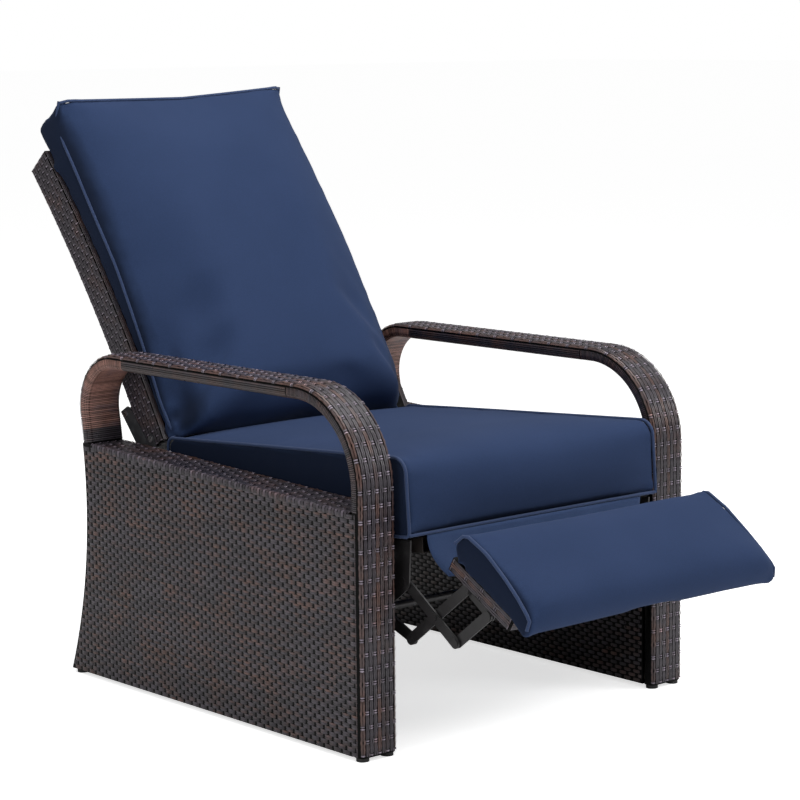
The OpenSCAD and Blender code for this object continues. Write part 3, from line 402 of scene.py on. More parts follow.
def lay_strand(net, at, path, width, tone, russet, arch=0.45):
    """One flat strand along path, a list of (a, b, height) on the surface that at() gives.
    tone is one for the strand or a list for its points. Its edges drop by arch."""
    points = [at(a, b, h) for a, b, h in path]
    last = len(points) - 1
    first = len(net["points"])
    for i, point in enumerate(points):
        a, b, h = path[i]
        ahead = points[min(i + 1, last)] - points[max(i - 1, 0)]
        side = ahead.cross(at(a, b, h + 1) - point).normalized()
        drop = side.cross(ahead).normalized() * (arch * MM)
        half = side * (width * MM / 2)
        net["points"] += [point - half - drop, point, point + half - drop]
    for i in range(last):
        a = first + 3 * i
        net["faces"] += [(a, a + 1, a + 4, a + 3), (a + 1, a + 2, a + 5, a + 4)]
    for i in range(last + 1):
        net["tone"] += [tone[i] if isinstance(tone, list) else tone] * 3
    net["russet"] += [russet] * (3 * (last + 1))


def pick_tone(net, spread=0.28):
    return 1.0 + net["chance"].uniform(-spread, spread)


def pick_russet(net):
    return net["chance"].choice((-0.35, -0.2, -0.1, 0.0, 0.25, 0.5))


def lay_courses(net, at, reach, bottom, top, width=COURSE_WIDTH, rise=2.0, pair=2, shade=1.0):
    """Courses of pair strands each from bottom to top, over and under hidden stakes.
    reach(b) gives where the course at b starts and ends, or None. shade darkens all strands alike, as
    painted shade."""
    heights = (rise, rise * SLOPE_SHARE, UNDER_STAKE, rise * SLOPE_SHARE)
    for row in range(int((top - bottom) / COURSE_PITCH)):
        b = bottom + COURSE_PITCH * (row + 0.5)
        ends = reach(b)
        if ends is None or ends[1] - ends[0] < 2 * STAKE_GAP:
            continue
        shift = row % 2 * 2
        for k in range(pair):
            off = (k - (pair - 1) / 2) * COURSE_PITCH / pair
            path, light = [(ends[0], b + off, END_HEIGHT)], [END_LIGHT]
            for i in range(math.ceil(ends[0] / STAKE_GAP), math.floor(ends[1] / STAKE_GAP) + 1):
                part = (i + shift) % 4
                path.append((i * STAKE_GAP, b + off, heights[part]))
                light.append(COURSE_LIGHT[part])
            path.append((ends[1], b + off, END_HEIGHT))
            light.append(END_LIGHT)
            lay_spliced(net, at, path, width, [shade * lit for lit in light])


def lay_spliced(net, at, path, width, light):
    """A strand laid in lengths of differing tone, as the spliced resin is."""
    last, cut = len(path) - 1, 0
    while cut < last - 1:
        more = min(last, cut + net["chance"].randint(6, 18))
        if last - more < 4:
            more = last
        tone = pick_tone(net, 0.36)
        lay_strand(net, at, path[cut:more + 1], width, [tone * lit for lit in light[cut:more + 1]],
                   pick_russet(net))
        cut = more


def lay_columns(net, at, start, end, columns, pitch=7.9, step=22.0, red=(), bars=2, shine=5.4):
    """Paired long strands, pinched together under short cross bars at every second step.
    red lists the reddish columns, bars is how many bars lie together, and shine the tone of their
    painted highlight."""
    rows = int((end - start) / step)
    step = (end - start) / max(rows, 1)
    for j in range(columns):
        u = (j - (columns - 1) / 2) * pitch
        russet = 0.55 if j in red else -0.2
        for k in (-1, 1):
            tone = pick_tone(net, 0.22)
            path, tones = [], []
            for i in range(rows * 4 + 1):
                row, part = divmod(i, 4)
                at_bar = FREE if (row + j) % 2 else HELD
                height, apart, light = (at_bar, *BETWEEN)[part]
                tones.append(tone * light)
                path.append((start + i * step / 4, u + k * apart, height))
            lay_strand(net, at, path, COLUMN_WIDTH, tones, russet + net["chance"].uniform(-0.15, 0.15))
        for row in range(j % 2, rows + 1, 2):
            for k in range(bars):
                s = start + row * step + (k - (bars - 1) / 2) * BAR_GAP
                s = min(max(s, start + BAR_INSET), end - BAR_INSET)
                path = [(s, u + across, height) for across, height, light in BAR]
                glint = pick_tone(net, 0.4)
                shines = [shine * glint * light for across, height, light in BAR]
                lay_strand(net, at, path, BAR_WIDTH, shines, -0.5 + net["chance"].uniform(0, 0.3), 0.3)


def make_weave(name, net, body):
    mesh = bpy.data.meshes.new(name)
    mesh.from_pydata(net["points"], [], net["faces"])
    for label in ("tone", "russet"):
        layer = mesh.attributes.new(label, "FLOAT", "POINT")
        layer.data.foreach_set("value", net[label])
    smooth_faces(mesh)
    mesh.materials.append(resin)
    mesh.update()
    piece = add_object(name, mesh)
    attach(piece, body)


# ---- arms and side panels

POST_Y, ARM_Z, GLIDE_Z = -319.0, 546.0, 6
# Centre's y and z, and radius, of the band's two bends and of the upright's long curve
FRONT_BEND = (-180.0, 407.0, 139.0)
REAR_BEND = (301.8, 462.0, 84.0)
REAR_EDGE = (1182.0, 300.0, 811.0)
TURN_OVER, REAR_SWEEP = math.radians(10.43), math.radians(31.6)
# The band's post, front bend, level arm, rear bend and upright
LENGTHS = [
    FRONT_BEND[1] - GLIDE_Z,
    FRONT_BEND[2] * math.pi / 2,
    REAR_BEND[0] - FRONT_BEND[0],
    REAR_BEND[2] * (math.pi / 2 + TURN_OVER),
    REAR_EDGE[2] * REAR_SWEEP,
]
ARM_X, ARM_HALF, CORNER, ARM_THICK = 315.0, 35.0, 8.0, 11.0
# The band's columns of long strands, and how far these stay off its foot and its end
ARM_COLUMNS, FOOT_GAP, END_GAP = 9, 3, 2

WRAP_PITCH, WRAP_WIDTH, WRAP_HEIGHT, WRAP_ARCH = 3.15, 2.7, 0.75, 0.9
# Places round the band's section from one edge of its outer face to the inner side's middle
WRAP_TURNS = (37.5, 41.0, 45.5, 49.5, 53.5, 58.0, 70.0, 85.0)
# A wrap redder than this is a russet one, brightened by RUSSET_GLOW as painted light
RUSSET_WRAP, RUSSET_GLOW = 0.5, 3.4
# The wraps start on the post, run on past the front bend, start again before the rear bend
# and end down the upright. They are russet until a little way down it.
WRAPS_START, PAST_FRONT_BEND, BEFORE_REAR_BEND, DOWN_UPRIGHT, RUSSET_DOWN = 373.0, 20, 30, 44, 22
# Lengthwise strands under the level arm: count, first place round the section, and so on
UNDER_COUNT, UNDER_START, UNDER_PITCH, UNDER_WIDTH, UNDER_HEIGHT = 14, 39.0, 3.3, 2.9, 0.7
UNDER_SHADE = 0.75

PANEL_OUT, PANEL_IN, PANEL_FOOT, PANEL_HEAD = 350, 280, 7, 402
# Where courses start at the post, outside and inside
OUTER_START, INNER_START, SHORTEST_COURSE = -321.0, -306.0, 20
# The panel's upper edge: front end, and its run and rise to the rear
TOP_Y, TOP_Z, TOP_RUN, TOP_RISE = -308, 377, 690, 25
# The upper face between the post and the upright
TOP_FACE_START, TOP_FACE_END = -306, 365
PANEL_REAR_R, PANEL_REAR_INSET = 800.0, 1.5
# The turned edge's section out and up from the panel's corner, and its light
RIM = ((1.5, -8.0, 0.3), (2.4, -1.2, 0.8), (0.8, 2.4, 1.5), (-5.0, 2.6, 0.7))
RIM_STRANDS, RIM_PITCH, RIM_WIDTH, RIM_START = 92, 7.2, 5.6, -300


def band_at(s):
    """Middle line of the arm's band, s on from the front foot: y, z and the way out."""
    for i, length in enumerate(LENGTHS):
        if s <= length or i == 4:
            break
        s -= length
    if i == 0:
        return POST_Y, GLIDE_Z + s, -1.0, 0.0
    if i == 2:
        return FRONT_BEND[0] + s, ARM_Z, 0.0, 1.0
    if i == 1:
        a = math.pi - s / FRONT_BEND[2]
        y, z, r, out = *FRONT_BEND, 1.0
    elif i == 3:
        a = math.pi / 2 - s / REAR_BEND[2]
        y, z, r, out = *REAR_BEND, 1.0
    else:
        a = math.pi - TURN_OVER + s / REAR_EDGE[2]
        y, z, r, out = *REAR_EDGE, -1.0
    return y + r * math.cos(a), z + r * math.sin(a), out * math.cos(a), out * math.sin(a)


def band_section(u):
    """Point and direction out on the band's rounded section, u round from its middle."""
    flat, turn = ARM_HALF - CORNER, CORNER * math.pi / 2
    low = ARM_THICK - CORNER
    side = 2 * low
    sign, u = (1 if u >= 0 else -1), abs(u)
    if u < flat:
        x, n, ox, on = u, ARM_THICK, 0, 1
    elif u < flat + turn:
        a = (u - flat) / CORNER
        ox, on = math.sin(a), math.cos(a)
        x, n = flat + CORNER * ox, low + CORNER * on
    elif u < flat + turn + side:
        x, n, ox, on = ARM_HALF, low - (u - flat - turn), 1, 0
    elif u < flat + 2 * turn + side:
        a = (u - flat - turn - side) / CORNER
        ox, on = math.cos(a), -math.sin(a)
        x, n = flat + CORNER * ox, -low + CORNER * on
    else:
        x, n, ox, on = flat - (u - flat - 2 * turn - side), -ARM_THICK, 0, -1
    return sign * x, n, sign * ox, on


def arm_spot(way):
    def at(s, u, h):
        y, z, oy, oz = band_at(s)
        x, n, ox, on = band_section(u)
        n += on * h
        return place(way * ARM_X + x + ox * h, y + oy * n, z + oz * n)
    return at


def lay_wraps(net, at, start, end, redness):
    """Single strands wound round the band's inner side and both its edges."""
    for i in range(int((end - start) / WRAP_PITCH)):
        s = start + WRAP_PITCH * (i + 0.5)
        tone = pick_tone(net, 0.4)
        russet = redness(s) + net["chance"].uniform(-0.2, 0.2)
        path = [(s, u, WRAP_HEIGHT) for u in WRAP_TURNS]
        path += [(s, -u, WRAP_HEIGHT) for u in reversed(WRAP_TURNS[:-1])]
        glow = RUSSET_GLOW if russet > RUSSET_WRAP else 1.0
        lay_strand(net, at, path, WRAP_WIDTH, tone * glow, russet, WRAP_ARCH)


def lay_under_arm(net, at, start, end, steps=12):
    """Under the level arm, and along its two edges, the strands run lengthwise."""
    places = [start + (end - start) * i / steps for i in range(steps + 1)]
    for k in range(UNDER_COUNT):
        u = UNDER_START + k * UNDER_PITCH
        for sign in (-1, 1):
            path = [(s, sign * u, UNDER_HEIGHT) for s in places]
            tone = UNDER_SHADE * pick_tone(net, 0.4)
            lay_strand(net, at, path, UNDER_WIDTH, tone, net["chance"].uniform(-0.2, 0.3), WRAP_ARCH)


def panel_top_z(y):
    return TOP_Z + (y - TOP_Y) * TOP_RISE / TOP_RUN


def rear_face_y(z):
    return REAR_EDGE[0] - math.sqrt(PANEL_REAR_R ** 2 - (z - REAR_EDGE[1]) ** 2)


def panel_reach(front):
    """Where the panel's courses start and end, for courses that start at front."""
    def reach(z):
        start = TOP_Y + (z - TOP_Z) * TOP_RUN / TOP_RISE if z > TOP_Z else front
        end = rear_face_y(z) - PANEL_REAR_INSET
        return (start, end) if end - start > SHORTEST_COURSE else None
    return reach


def weave_side(name, way, seed):
    net = new_net(seed)
    at = arm_spot(way)
    lay_columns(net, at, FOOT_GAP, sum(LENGTHS) - END_GAP, ARM_COLUMNS, red=(0, 4, 8))
    level_start = sum(LENGTHS[:2]) + PAST_FRONT_BEND
    level_end = sum(LENGTHS[:3]) - BEFORE_REAR_BEND
    upright = sum(LENGTHS[:4])
    lay_wraps(net, at, WRAPS_START, level_start, lambda s: 0.0)
    lay_wraps(net, at, level_end, upright + DOWN_UPRIGHT,
              lambda s: 0.75 if s < upright + RUSSET_DOWN else -0.3)
    lay_under_arm(net, at, level_start, level_end)
    lay_courses(net, lambda y, z, h: place(way * (PANEL_OUT + h), y, z), panel_reach(OUTER_START),
                PANEL_FOOT, PANEL_HEAD)
    lay_columns(net, lambda y, u, h: place(way * ARM_X + u, y, panel_top_z(y) + h), TOP_FACE_START,
                TOP_FACE_END, ARM_COLUMNS, red=(0, 8), shine=5.0)

    # Turned edge between that upper face and the panel's outer side
    def over_rim(k, y, h):
        out, up, light = RIM[k]
        return place(way * (PANEL_OUT + out + h), y, panel_top_z(y) + up + h)
    for i in range(RIM_STRANDS):
        glint = (2.6 if i % 2 else 1.1) * pick_tone(net, 0.3)
        path = [(k, RIM_START + i * RIM_PITCH, 0) for k in range(len(RIM))]
        lay_strand(net, over_rim, path, RIM_WIDTH, [glint * light for out, up, light in RIM], -0.3, 0.3)
    make_weave(name, net, "base")


def weave_lining(name, way, seed):
    net = new_net(seed)
    # The inner skin's courses are darkened by half: painted shade, for the shadow inside the panel
    lay_courses(net, lambda y, z, h: place(way * (PANEL_IN - h), y, z), panel_reach(INNER_START),
                PANEL_FOOT, PANEL_HEAD, width=5.6, rise=1.1, pair=1, shade=0.5)
    make_weave(name, net, "base")


# ---- back and footrest

BACK_CENTRE, BACK_R, BACK_LEAN = (2784.4, -1021.9), 2900.0, math.radians(29)
# The back frame's half width, its two ends along the back, and its depth
BACK_HALF, BACK_FOOT, BACK_HEAD, BACK_DEEP = 270, 32, 610, 56
BACK_COLUMNS, BACK_PITCH = 7, 7.7
# Plain long strands on the front of the back's sides
FACE_STRANDS, FACE_PITCH, FACE_WIDTH, FACE_STEPS = 3, 3.4, 3.1, 40

FOOT_SLOPE, FOOT_Y, FOOT_Z = math.radians(29.6), -447, 351
# The footrest frame's ends and half width, and heights of its middle and underside
FOOT_REAR, FOOT_FRONT, FOOT_HALF, FOOT_MIDDLE, FOOT_UNDER = 6.6, 152.6, 258, -46.3, -57.3
# Strands lie flatter there
FOOT_FLAT = 0.6


def back_spot(x, s, h):
    a = BACK_LEAN + s / BACK_R
    r = BACK_R + h
    return place(x, BACK_CENTRE[0] - r * math.cos(a), BACK_CENTRE[1] + r * math.sin(a))


def weave_back():
    net = new_net(31)
    middle = BACK_DEEP / 2
    start, end = BACK_FOOT + 2, BACK_HEAD - 2
    lay_courses(net, lambda x, s, h: back_spot(x, s, -BACK_DEEP - h),
                lambda s: (-BACK_HALF, BACK_HALF), BACK_FOOT + 1, BACK_HEAD - 1)
    for way in (-1, 1):
        lay_columns(net, lambda s, u, h, way=way: back_spot(way * (BACK_HALF + 2 + h), s, -middle + u),
                    start, end, BACK_COLUMNS, pitch=BACK_PITCH, step=11.5, bars=1, shine=4.0)
        for k in range(FACE_STRANDS):
            x = way * (BACK_HALF - FACE_PITCH * k)
            path = [(start + (end - start) * i / FACE_STEPS, x, 0.6) for i in range(FACE_STEPS + 1)]
            lay_strand(net, lambda s, x, h: back_spot(x, s, h), path, FACE_WIDTH, pick_tone(net), 0.0)
    lay_columns(net, lambda x, u, h: back_spot(x, BACK_HEAD + h, -middle + u), -BACK_HALF, BACK_HALF,
                BACK_COLUMNS, pitch=BACK_PITCH, shine=4.0)
    lay_columns(net, lambda x, u, h: back_spot(x, BACK_FOOT - h, -middle + u), -BACK_HALF, BACK_HALF,
                BACK_COLUMNS, pitch=BACK_PITCH, shine=2.6)
    make_weave("back_weave", net, "back")


def foot_spot(x, s, h):
    return place(x, FOOT_Y - s * math.cos(FOOT_SLOPE) - h * math.sin(FOOT_SLOPE),
                 FOOT_Z - s * math.sin(FOOT_SLOPE) + h * math.cos(FOOT_SLOPE))


def weave_footrest():
    net = new_net(47)
    inside = FOOT_HALF - 2
    edging = {"pitch": 6.9, "shine": 2.2, "red": (1,)}
    for way in (-1, 1):
        lay_columns(net, lambda s, u, h, way=way: foot_spot(way * (FOOT_HALF + h * FOOT_FLAT), s,
                                                            FOOT_MIDDLE + u),
                    FOOT_REAR + 2, FOOT_FRONT - 2, 3, step=29, **edging)
    for edge, way in ((FOOT_REAR, -1), (FOOT_FRONT, 1)):
        lay_columns(net, lambda x, u, h, edge=edge, way=way: foot_spot(x, edge + way * h * FOOT_FLAT,
                                                                       FOOT_MIDDLE + u),
                    -inside, inside, 3, step=26, **edging)
    lay_courses(net, lambda x, s, h: foot_spot(x, s, FOOT_UNDER - h * FOOT_FLAT),
                lambda s: (-inside, inside), FOOT_REAR + 1, FOOT_FRONT - 1)
    make_weave("footrest_weave", net, "footrest")


# ---- cushions

SEAT_LEAN, SEAT_Y, SEAT_Z = math.radians(4.3), -348, 335
# How far along the back its cushion starts
BACK_CUSHION_S = 28
PIPING_R = 2.7
# Lengths of the piping's line across the width
PIPING_STEPS = 40
# A toe dies away over this length; ears lie beyond these shares of half width and length
TOE_RUN, EAR_U, EAR_V = 90, 0.84, 0.86
# A cover's points get painted shade, standing in for the shadow on the box sides, from this sideways
# share of their normal, fully so this much further
PAINTED_SHADE_FROM, PAINTED_SHADE_RUN = 0.62, 0.26

# In metres: grid of the cover, most that the filling may move it, and the distances from a
# seam in which a cover is fully held, and over which the hold then dies away
VOXEL, SWELL_LIMIT, HELD_NEAR, HELD_FADE = 0.008, 0.022, 0.008, 0.014
FILL_FRAMES = 20
# In metres: points this near to a held line, or to piping, stay where they are in smoothing
SEAM_STAYS, PIPING_STAYS = 0.009, 0.012


def seat_spot(x, s, h):
    return place(x, SEAT_Y + s * math.cos(SEAT_LEAN) + h * math.sin(SEAT_LEAN),
                 SEAT_Z - s * math.sin(SEAT_LEAN) + h * math.cos(SEAT_LEAN))


def outline(length, low, thick, corners):
    """Closed side outline with a radius at each corner: foot front, top front, top rear,
    foot rear."""
    points = []
    high = low + thick
    # Corner, the way from it to the middle of its rounding, and the angle where that starts
    turns = (
        (0, low, 1, 1, math.pi * 1.5),
        (0, high, 1, -1, math.pi),
        (length, high, -1, -1, math.pi / 2),
        (length, low, -1, 1, 0),
    )
    for (s, h, in_s, in_h, start), r in zip(turns, corners):
        cs, ch = s + in_s * r, h + in_h * r
        steps = max(2, int(r / 4))
        for i in range(steps + 1):
            a = start - math.pi / 2 * i / steps
            points.append((cs + r * math.cos(a), ch + r * math.sin(a)))
    return points


def fill_out(points, gap):
    """The same closed outline with a point at least every gap."""
    full = []
    for (s0, h0), (s1, h1) in zip(points, points[1:] + points[:1]):
        n = max(1, math.ceil(math.hypot(s1 - s0, h1 - h0) / gap))
        full += [(s0 + (s1 - s0) * i / n, h0 + (h1 - h0) * i / n) for i in range(n)]
    return full


def along(table, t):
    """The value at t on straight lines between the table's (t, value) pairs."""
    for (t0, v0), (t1, v1) in zip(table, table[1:]):
        if t <= t1:
            return v0 + (v1 - v0) * max(0.0, t - t0) / (t1 - t0)
    return table[-1][1]


class Cushion:
    """A box cushion. Its tables give values along its length, from its near end.

    size is its length, its foot's height and its thickness, and corners has the radii of its
    side outline. widths is the half width, with far_widths where the right side differs,
    and seam is the side seam's height. Its faces round off to that seam within round_side of
    the sides. crown fills out the top, draw pulls in the middle of each side, and tops
    scales the height along the length's share. toe moves the near end's top outward and
    ear the far corners, skew the right far corner, flare widens the foot, and sag lowers the
    far end's underside."""

    def __init__(self, name, node, body, spot, size, corners, widths, seam, round_side=40.0,
                 crown=6.0, draw=3.0, tops=((0, 1.0), (1, 1.0)), toe=0.0, ear=0.0,
                 flare=((0, 0), (1, 0)), far_widths=None, skew=0.0, sag=0.0):
        self.name, self.node, self.body, self.spot = name, node, body, spot
        self.length, self.low, self.thick = size
        self.edge = fill_out(outline(*size, corners), 10)
        self.widths, self.seam, self.tops = (widths, far_widths or widths), seam, tops
        self.round_side, self.crown, self.draw = round_side, crown, draw
        self.toe, self.ear, self.flare = toe, ear, flare
        self.skew, self.sag = skew, sag

    def at(self, u, s, h, out=0.0):
        """A point of the shell. u runs from -1 to 1 across the width."""
        v = max(-1.0, min(1.0, 2 * s / self.length - 1))
        near, far = (along(table, s) for table in self.widths)
        half = near + (far - near) * (u + 1) / 2 - self.draw * (1 - v * v)
        seam = along(self.seam, s)
        inward = min(1.0, half * (1 - abs(u)) / self.round_side)
        if h > seam:
            h = seam + (h - seam) * math.sqrt(1 - (1 - inward) ** 2)
        else:
            under = (1 - inward) ** 2 * (seam - h) / (seam - self.low)
            half += along(self.flare, s) * under
        share = (h - self.low) / self.thick
        lift = max(0.0, share - 0.5) * 2
        h = self.low + (h - self.low) * along(self.tops, s / self.length)
        h += lift * self.crown * (1 - abs(u) ** 3) * (1 - abs(v) ** 3)
        s -= self.toe * max(0.0, 1 - s / TOE_RUN) * share
        s -= self.draw * (1 - u * u) * v ** 5
        s += self.ear * max(0.0, abs(u) - EAR_U) / (1 - EAR_U) * max(0.0, v - EAR_V) / (1 - EAR_V)
        s += self.skew * max(0.0, u) * max(0.0, v)
        h -= self.sag * max(0.0, v - 0.5) * 2 * (1 - share)
        x = u * half + (out if u > 0 else -out)
        return self.spot(x, s, h)

    def shell(self, across=44):
        """The sewn shape before it is filled."""
        bm = bmesh.new()
        rows = []
        for i in range(across + 1):
            u = math.sin(math.pi / 2 * (-1 + 2 * i / across))
            rows.append([bm.verts.new(self.at(u, *p)) for p in self.edge])
        n = len(self.edge)
        for a, b in zip(rows, rows[1:]):
            for i in range(n):
                bm.faces.new((a[i], a[(i + 1) % n], b[(i + 1) % n], b[i]))
        bm.faces.new(list(reversed(rows[0])))
        bm.faces.new(rows[-1])
        bmesh.ops.triangulate(bm, faces=[f for f in bm.faces if len(f.verts) > 4])
        bmesh.ops.recalc_face_normals(bm, faces=bm.faces)
        mesh = bpy.data.meshes.new(self.name)
        bm.to_mesh(mesh)
        bm.free()
        self.piece = add_object(self.name, mesh)

    def side_lines(self):
        """The side outlines, sewn all round."""
        return [[self.at(sign, s, h, -1.2) for s, h in self.edge] for sign in (-1, 1)]

    def side_seams(self, ends):
        """The seams along the middle of the sides, with a point more at each end."""
        steps = int(self.length / 9)
        places = [self.length * i / steps for i in range(1, steps)]
        run = [ends[0]] + [(s, along(self.seam, s)) for s in places] + [ends[1]]
        return [[self.at(sign, s, h, 1.0) for s, h in run] for sign in (-1, 1)]

    def cross_line(self, s, h):
        """A line across the whole width."""
        return [self.at(-1 + 2 * i / PIPING_STEPS, s, h) for i in range(PIPING_STEPS + 1)]


def applied(piece):
    """Turns the piece's modifiers into its mesh."""
    mesh = bpy.data.meshes.new_from_object(piece.evaluated_get(bpy.context.evaluated_depsgraph_get()))
    piece.modifiers.clear()
    piece.data = mesh


def tree_of(lines):
    """Finds the nearest point of the lines."""
    points = [p for line in lines for p in line]
    tree = kdtree.KDTree(len(points))
    for i, p in enumerate(points):
        tree.insert(p, i)
    tree.balance()
    return tree


def hold_seams(piece, tree):
    """A vertex group that holds the cover at its seams."""
    group = piece.vertex_groups.new(name="seam")
    for v in piece.data.vertices:
        far = tree.find(v.co)[2]
        hold = 1.0 if far < HELD_NEAR else max(0.0, 1 - (far - HELD_NEAR) / HELD_FADE) * 0.5
        if hold > 0:
            group.add([v.index], hold, "REPLACE")


def add_filling(piece):
    """Cloth that is blown up from inside."""
    cloth = piece.modifiers.new("filling", "CLOTH")
    cloth.settings.quality = 5
    cloth.settings.mass = 0.3
    cloth.settings.tension_stiffness = 15
    cloth.settings.compression_stiffness = 6
    cloth.settings.shear_stiffness = 5
    cloth.settings.bending_stiffness = 3
    cloth.settings.use_pressure = True
    cloth.settings.uniform_pressure_force = 4
    cloth.settings.vertex_group_mass = "seam"
    cloth.settings.effector_weights.gravity = 0
    cloth.collision_settings.use_collision = False
    cloth.point_cache.frame_start = 1
    cloth.point_cache.frame_end = FILL_FRAMES


def fill_cushions(cushions):
    """Swells the sewn shells with air, held at their seams, and keeps the result."""
    scene = bpy.context.scene
    starts, trees = [], []
    for cushion in cushions:
        cushion.shell()
        remesh = cushion.piece.modifiers.new("even_net", "REMESH")
        remesh.mode = "VOXEL"
        remesh.voxel_size = VOXEL
        applied(cushion.piece)
        tree = tree_of(cushion.held)
        trees.append(tree)
        hold_seams(cushion.piece, tree)
        starts.append([v.co.copy() for v in cushion.piece.data.vertices])
        add_filling(cushion.piece)
    for i in range(1, FILL_FRAMES + 1):
        scene.frame_set(i)
    for cushion, start in zip(cushions, starts):
        applied(cushion.piece)
        for v, before in zip(cushion.piece.data.vertices, start):
            move = v.co - before
            if move.length > SWELL_LIMIT:
                v.co = before + move * (SWELL_LIMIT / move.length)
    scene.frame_set(1)
    for cushion, tree in zip(cushions, trees):
        ease(cushion.piece.data, tree, tree_of(cushion.piped))
        pucker(cushion.piece.data, tree)


def ease(mesh, tree, piped):
    """Evens out small buckles of the swollen cover, away from its seams and piping."""
    bm = bmesh.new()
    bm.from_mesh(mesh)
    for near, stays, passes in ((tree, SEAM_STAYS, 14), (piped, PIPING_STAYS, 2)):
        free = [v for v in bm.verts if near.find(v.co)[2] > stays]
        for _ in range(passes):
            bmesh.ops.smooth_vert(bm, verts=free, factor=0.5, use_axis_x=True, use_axis_y=True,
                                  use_axis_z=True)
    bm.to_mesh(mesh)
    bm.free()


def pucker(mesh, tree, depth=0.0022, onset=0.02, reach=0.07, unevenness=0.0016, open_cloth=0.05):
    """Small pulls that run out from the sewn seams and die away, and a slight unevenness
    of the open cloth between them, in metres."""
    mesh.update()
    moves = []
    for v in mesh.vertices:
        seam, _, far = tree.find(v.co)
        fade = min(1.0, far / onset) * max(0.0, 1 - far / reach)
        pull = noise.noise(seam * 26) + 0.4 * noise.noise(seam * 61)
        soft = noise.noise(v.co * 5.5) * unevenness
        moves.append(v.co + v.normal * (depth * fade * pull + soft * min(1.0, far / open_cloth)))
    for v, to in zip(mesh.vertices, moves):
        v.co = to


def press_crease(cushion, start, end, depth=8.0, wide=8.0):
    """A fold pressed into the cushion between two points, alike on both sides."""
    for sign in (-1, 1):
        a, b = cushion.spot(sign * start[0], *start[1:]), cushion.spot(sign * end[0], *end[1:])
        run = b - a
        for v in cushion.piece.data.vertices:
            t = max(0.0, min(1.0, (v.co - a).dot(run) / run.length_squared))
            far = (v.co - a - run * t).length / (wide * MM)
            if far < 3:
                v.co -= v.normal * (depth * MM * math.exp(-far * far))


def finish_cushion(cushion):
    piece = cushion.piece
    mesh = piece.data
    mesh.update()
    # Painted shade: points whose normal points sideways are darkened, standing in for the shadow that
    # falls on the box sides
    layer = mesh.attributes.new("painted_side_shade", "FLOAT", "POINT")
    shares = [(abs(v.normal.x) - PAINTED_SHADE_FROM) / PAINTED_SHADE_RUN for v in mesh.vertices]
    layer.data.foreach_set("value", [max(0.0, min(1.0, share)) for share in shares])
    mesh.materials.clear()
    mesh.materials.append(cover_cloth)
    smooth_faces(mesh)
    smooth = piece.modifiers.new("even_skin", "SUBSURF")
    smooth.levels = smooth.render_levels = 1
    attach(piece, cushion.body)
    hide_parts(cushion.node)


def add_piping(name, points, body, closed=False):
    """A round piping cord swept along points."""
    curve = bpy.data.curves.new(name, "CURVE")
    curve.dimensions = "3D"
    curve.bevel_depth = PIPING_R * MM
    curve.bevel_resolution = 2
    spline = curve.splines.new("POLY")
    spline.points.add(len(points) - 1)
    for target, p in zip(spline.points, points):
        target.co = (*p, 1)
    spline.use_cyclic_u = closed
    holder = add_object(name + "_path", curve)
    mesh = bpy.data.meshes.new_from_object(holder.evaluated_get(bpy.context.evaluated_depsgraph_get()))
    bpy.data.objects.remove(holder)
    mesh.materials.clear()
    mesh.materials.append(piping_cloth)
    smooth_faces(mesh)
    piece = add_object(name, mesh)
    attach(piece, body)
    return piece


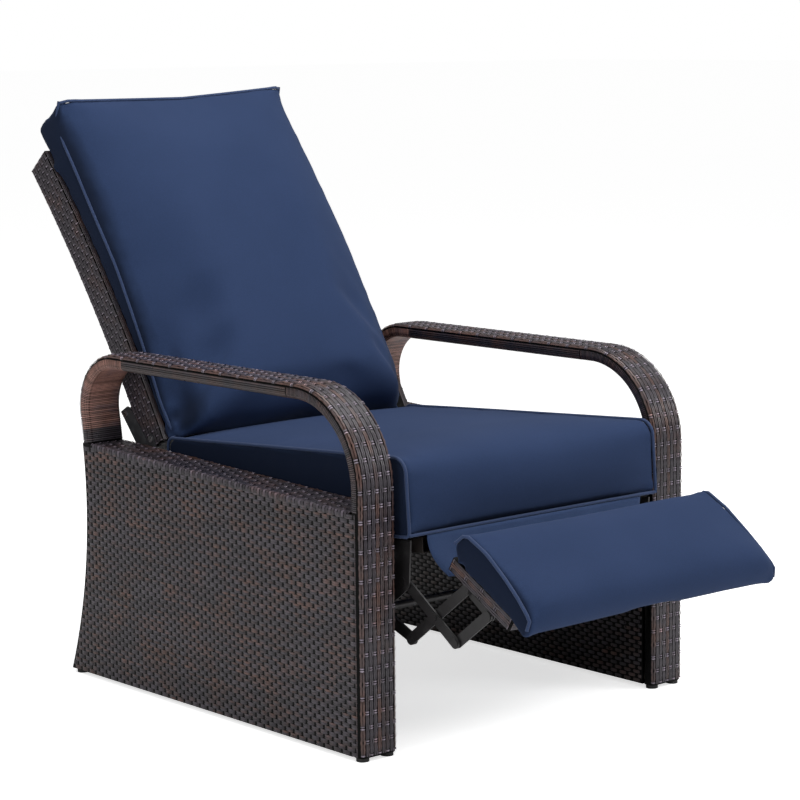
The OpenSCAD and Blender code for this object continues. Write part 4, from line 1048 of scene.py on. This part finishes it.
def sew_cushions():
    # The seat's seam table lies over the whole cushion, so its sides stay upright
    seat = Cushion(
        "seat_cushion_cover", "seat_cushion", "base", seat_spot, size=(606, 0, 118),
        corners=(7, 24, 14, 7), widths=((0, 268), (480, 268), (600, 264)), seam=((0, 400), (1, 400)),
        crown=6, draw=2, tops=((0, 1.01), (0.6, 1.05), (1.0, 1.07)))
    back = Cushion(
        "back_cushion_cover", "back_cushion", "back",
        lambda x, s, h: back_spot(x, BACK_CUSHION_S + s, h), size=(626, 0.5, 86),
        corners=(8, 32, 12, 8),
        widths=((0, 250), (25, 258), (70, 263), (400, 264), (560, 261), (626, 255)),
        seam=((0, 8), (68, 14), (160, 21), (318, 34), (442, 36), (605, 44), (626, 78)),
        round_side=52, crown=7, draw=2, toe=20, ear=5,
        flare=((0, 20), (60, 9), (400, 9), (626, 14)),
        far_widths=((0, 224), (25, 245), (80, 258), (200, 251), (400, 245), (560, 241), (626, 238)),
        skew=18)
    foot = Cushion(
        "footrest_cushion_cover", "footrest_cushion", "footrest", foot_spot, size=(194, -35, 50.5),
        corners=(10, 20, 24, 10), widths=((0, 259), (190, 264)),
        seam=((0, -2), (16, 12), (61, 14), (113, 7), (181, -6), (190, -11)),
        round_side=34, crown=8, draw=3, sag=9, flare=((0, 5), (60, 8), (194, 5)))
    top = back.cross_line(622.5, 83)
    seat.sewn = seat.side_lines()
    back.sewn = back.side_seams(((4, 4), (624, 77)))
    foot.sewn = foot.side_seams(((2, -12), (189, -20)))
    seat.held = seat.sewn
    back.held = back.side_lines() + back.sewn + [top]
    foot.held = foot.side_lines() + foot.sewn
    seat.piped, back.piped, foot.piped = seat.sewn, back.sewn + [top], foot.sewn
    cushions = [seat, back, foot]
    fill_cushions(cushions)
    press_crease(back, (260, 34, 0), (250, 46, 84))
    pressed = []
    for cushion in cushions:
        finish_cushion(cushion)
        for side, line in zip(("left", "right"), cushion.sewn):
            cord = add_piping(cushion.name + "_piping_" + side, line, cushion.body, cushion is seat)
            if cushion is seat:
                pressed.append(cord)
    pressed.append(seat.piece)
    pressed.append(add_piping("seat_cushion_piping_front", seat.cross_line(1.0, 2.0), "base"))
    add_piping("back_cushion_piping_top", top, "back")
    # The seat cushion and its piping each get a mesh of their own
    for piece in pressed:
        tuple(seat_spot(0, 0, 0))
        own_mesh(piece)


# ---- flap

FLAP_Y, FLAP_Z, FLAP_DROP = -347.5, 334.0, 72
FLAP_HALF, FLAP_TAPER, FLAP_THICK = 231, 41, 1.2
FLAP_COLUMNS, FLAP_ROWS = 72, 12
# Depth, turn from column to column and start of the two waves of its folds
FOLDS = ((2.6, 0.62, 0), (1.6, 0.23, 1))


def hang_flap():
    """The single cloth under the seat's front edge, in soft folds."""
    points, faces = [], []
    for j in range(FLAP_ROWS + 1):
        t = j / FLAP_ROWS
        half = FLAP_HALF - FLAP_TAPER * t * t
        for i in range(FLAP_COLUMNS + 1):
            k = 2 * i / FLAP_COLUMNS - 1
            fold = sum(deep * t * math.sin(i * turn + start) for deep, turn, start in FOLDS)
            corner_lift = 3.0 * t * abs(k) ** 6
            points.append(place(half * k, FLAP_Y - fold, FLAP_Z - FLAP_DROP * t + corner_lift))
    stride = FLAP_COLUMNS + 1
    for j in range(FLAP_ROWS):
        for i in range(FLAP_COLUMNS):
            a = j * stride + i
            faces.append((a, a + stride, a + stride + 1, a + 1))
    mesh = bpy.data.meshes.new("front_flap")
    mesh.from_pydata(points, [], faces)
    smooth_faces(mesh)
    mesh.materials.append(flap_cloth)
    flap = add_object("front_flap", mesh)
    thick = flap.modifiers.new("cloth_thickness", "SOLIDIFY")
    thick.thickness = FLAP_THICK * MM
    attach(flap, "base")
    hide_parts("seat_flap")


set_camera()
set_light()
lay_floor()
finish_cad_parts()
weave_side("arm_weave_left", -1, 11)
weave_side("arm_weave_right", 1, 12)
weave_lining("lining_weave_left", -1, 21)
weave_lining("lining_weave_right", 1, 22)
weave_back()
weave_footrest()
sew_cushions()
hang_flap()
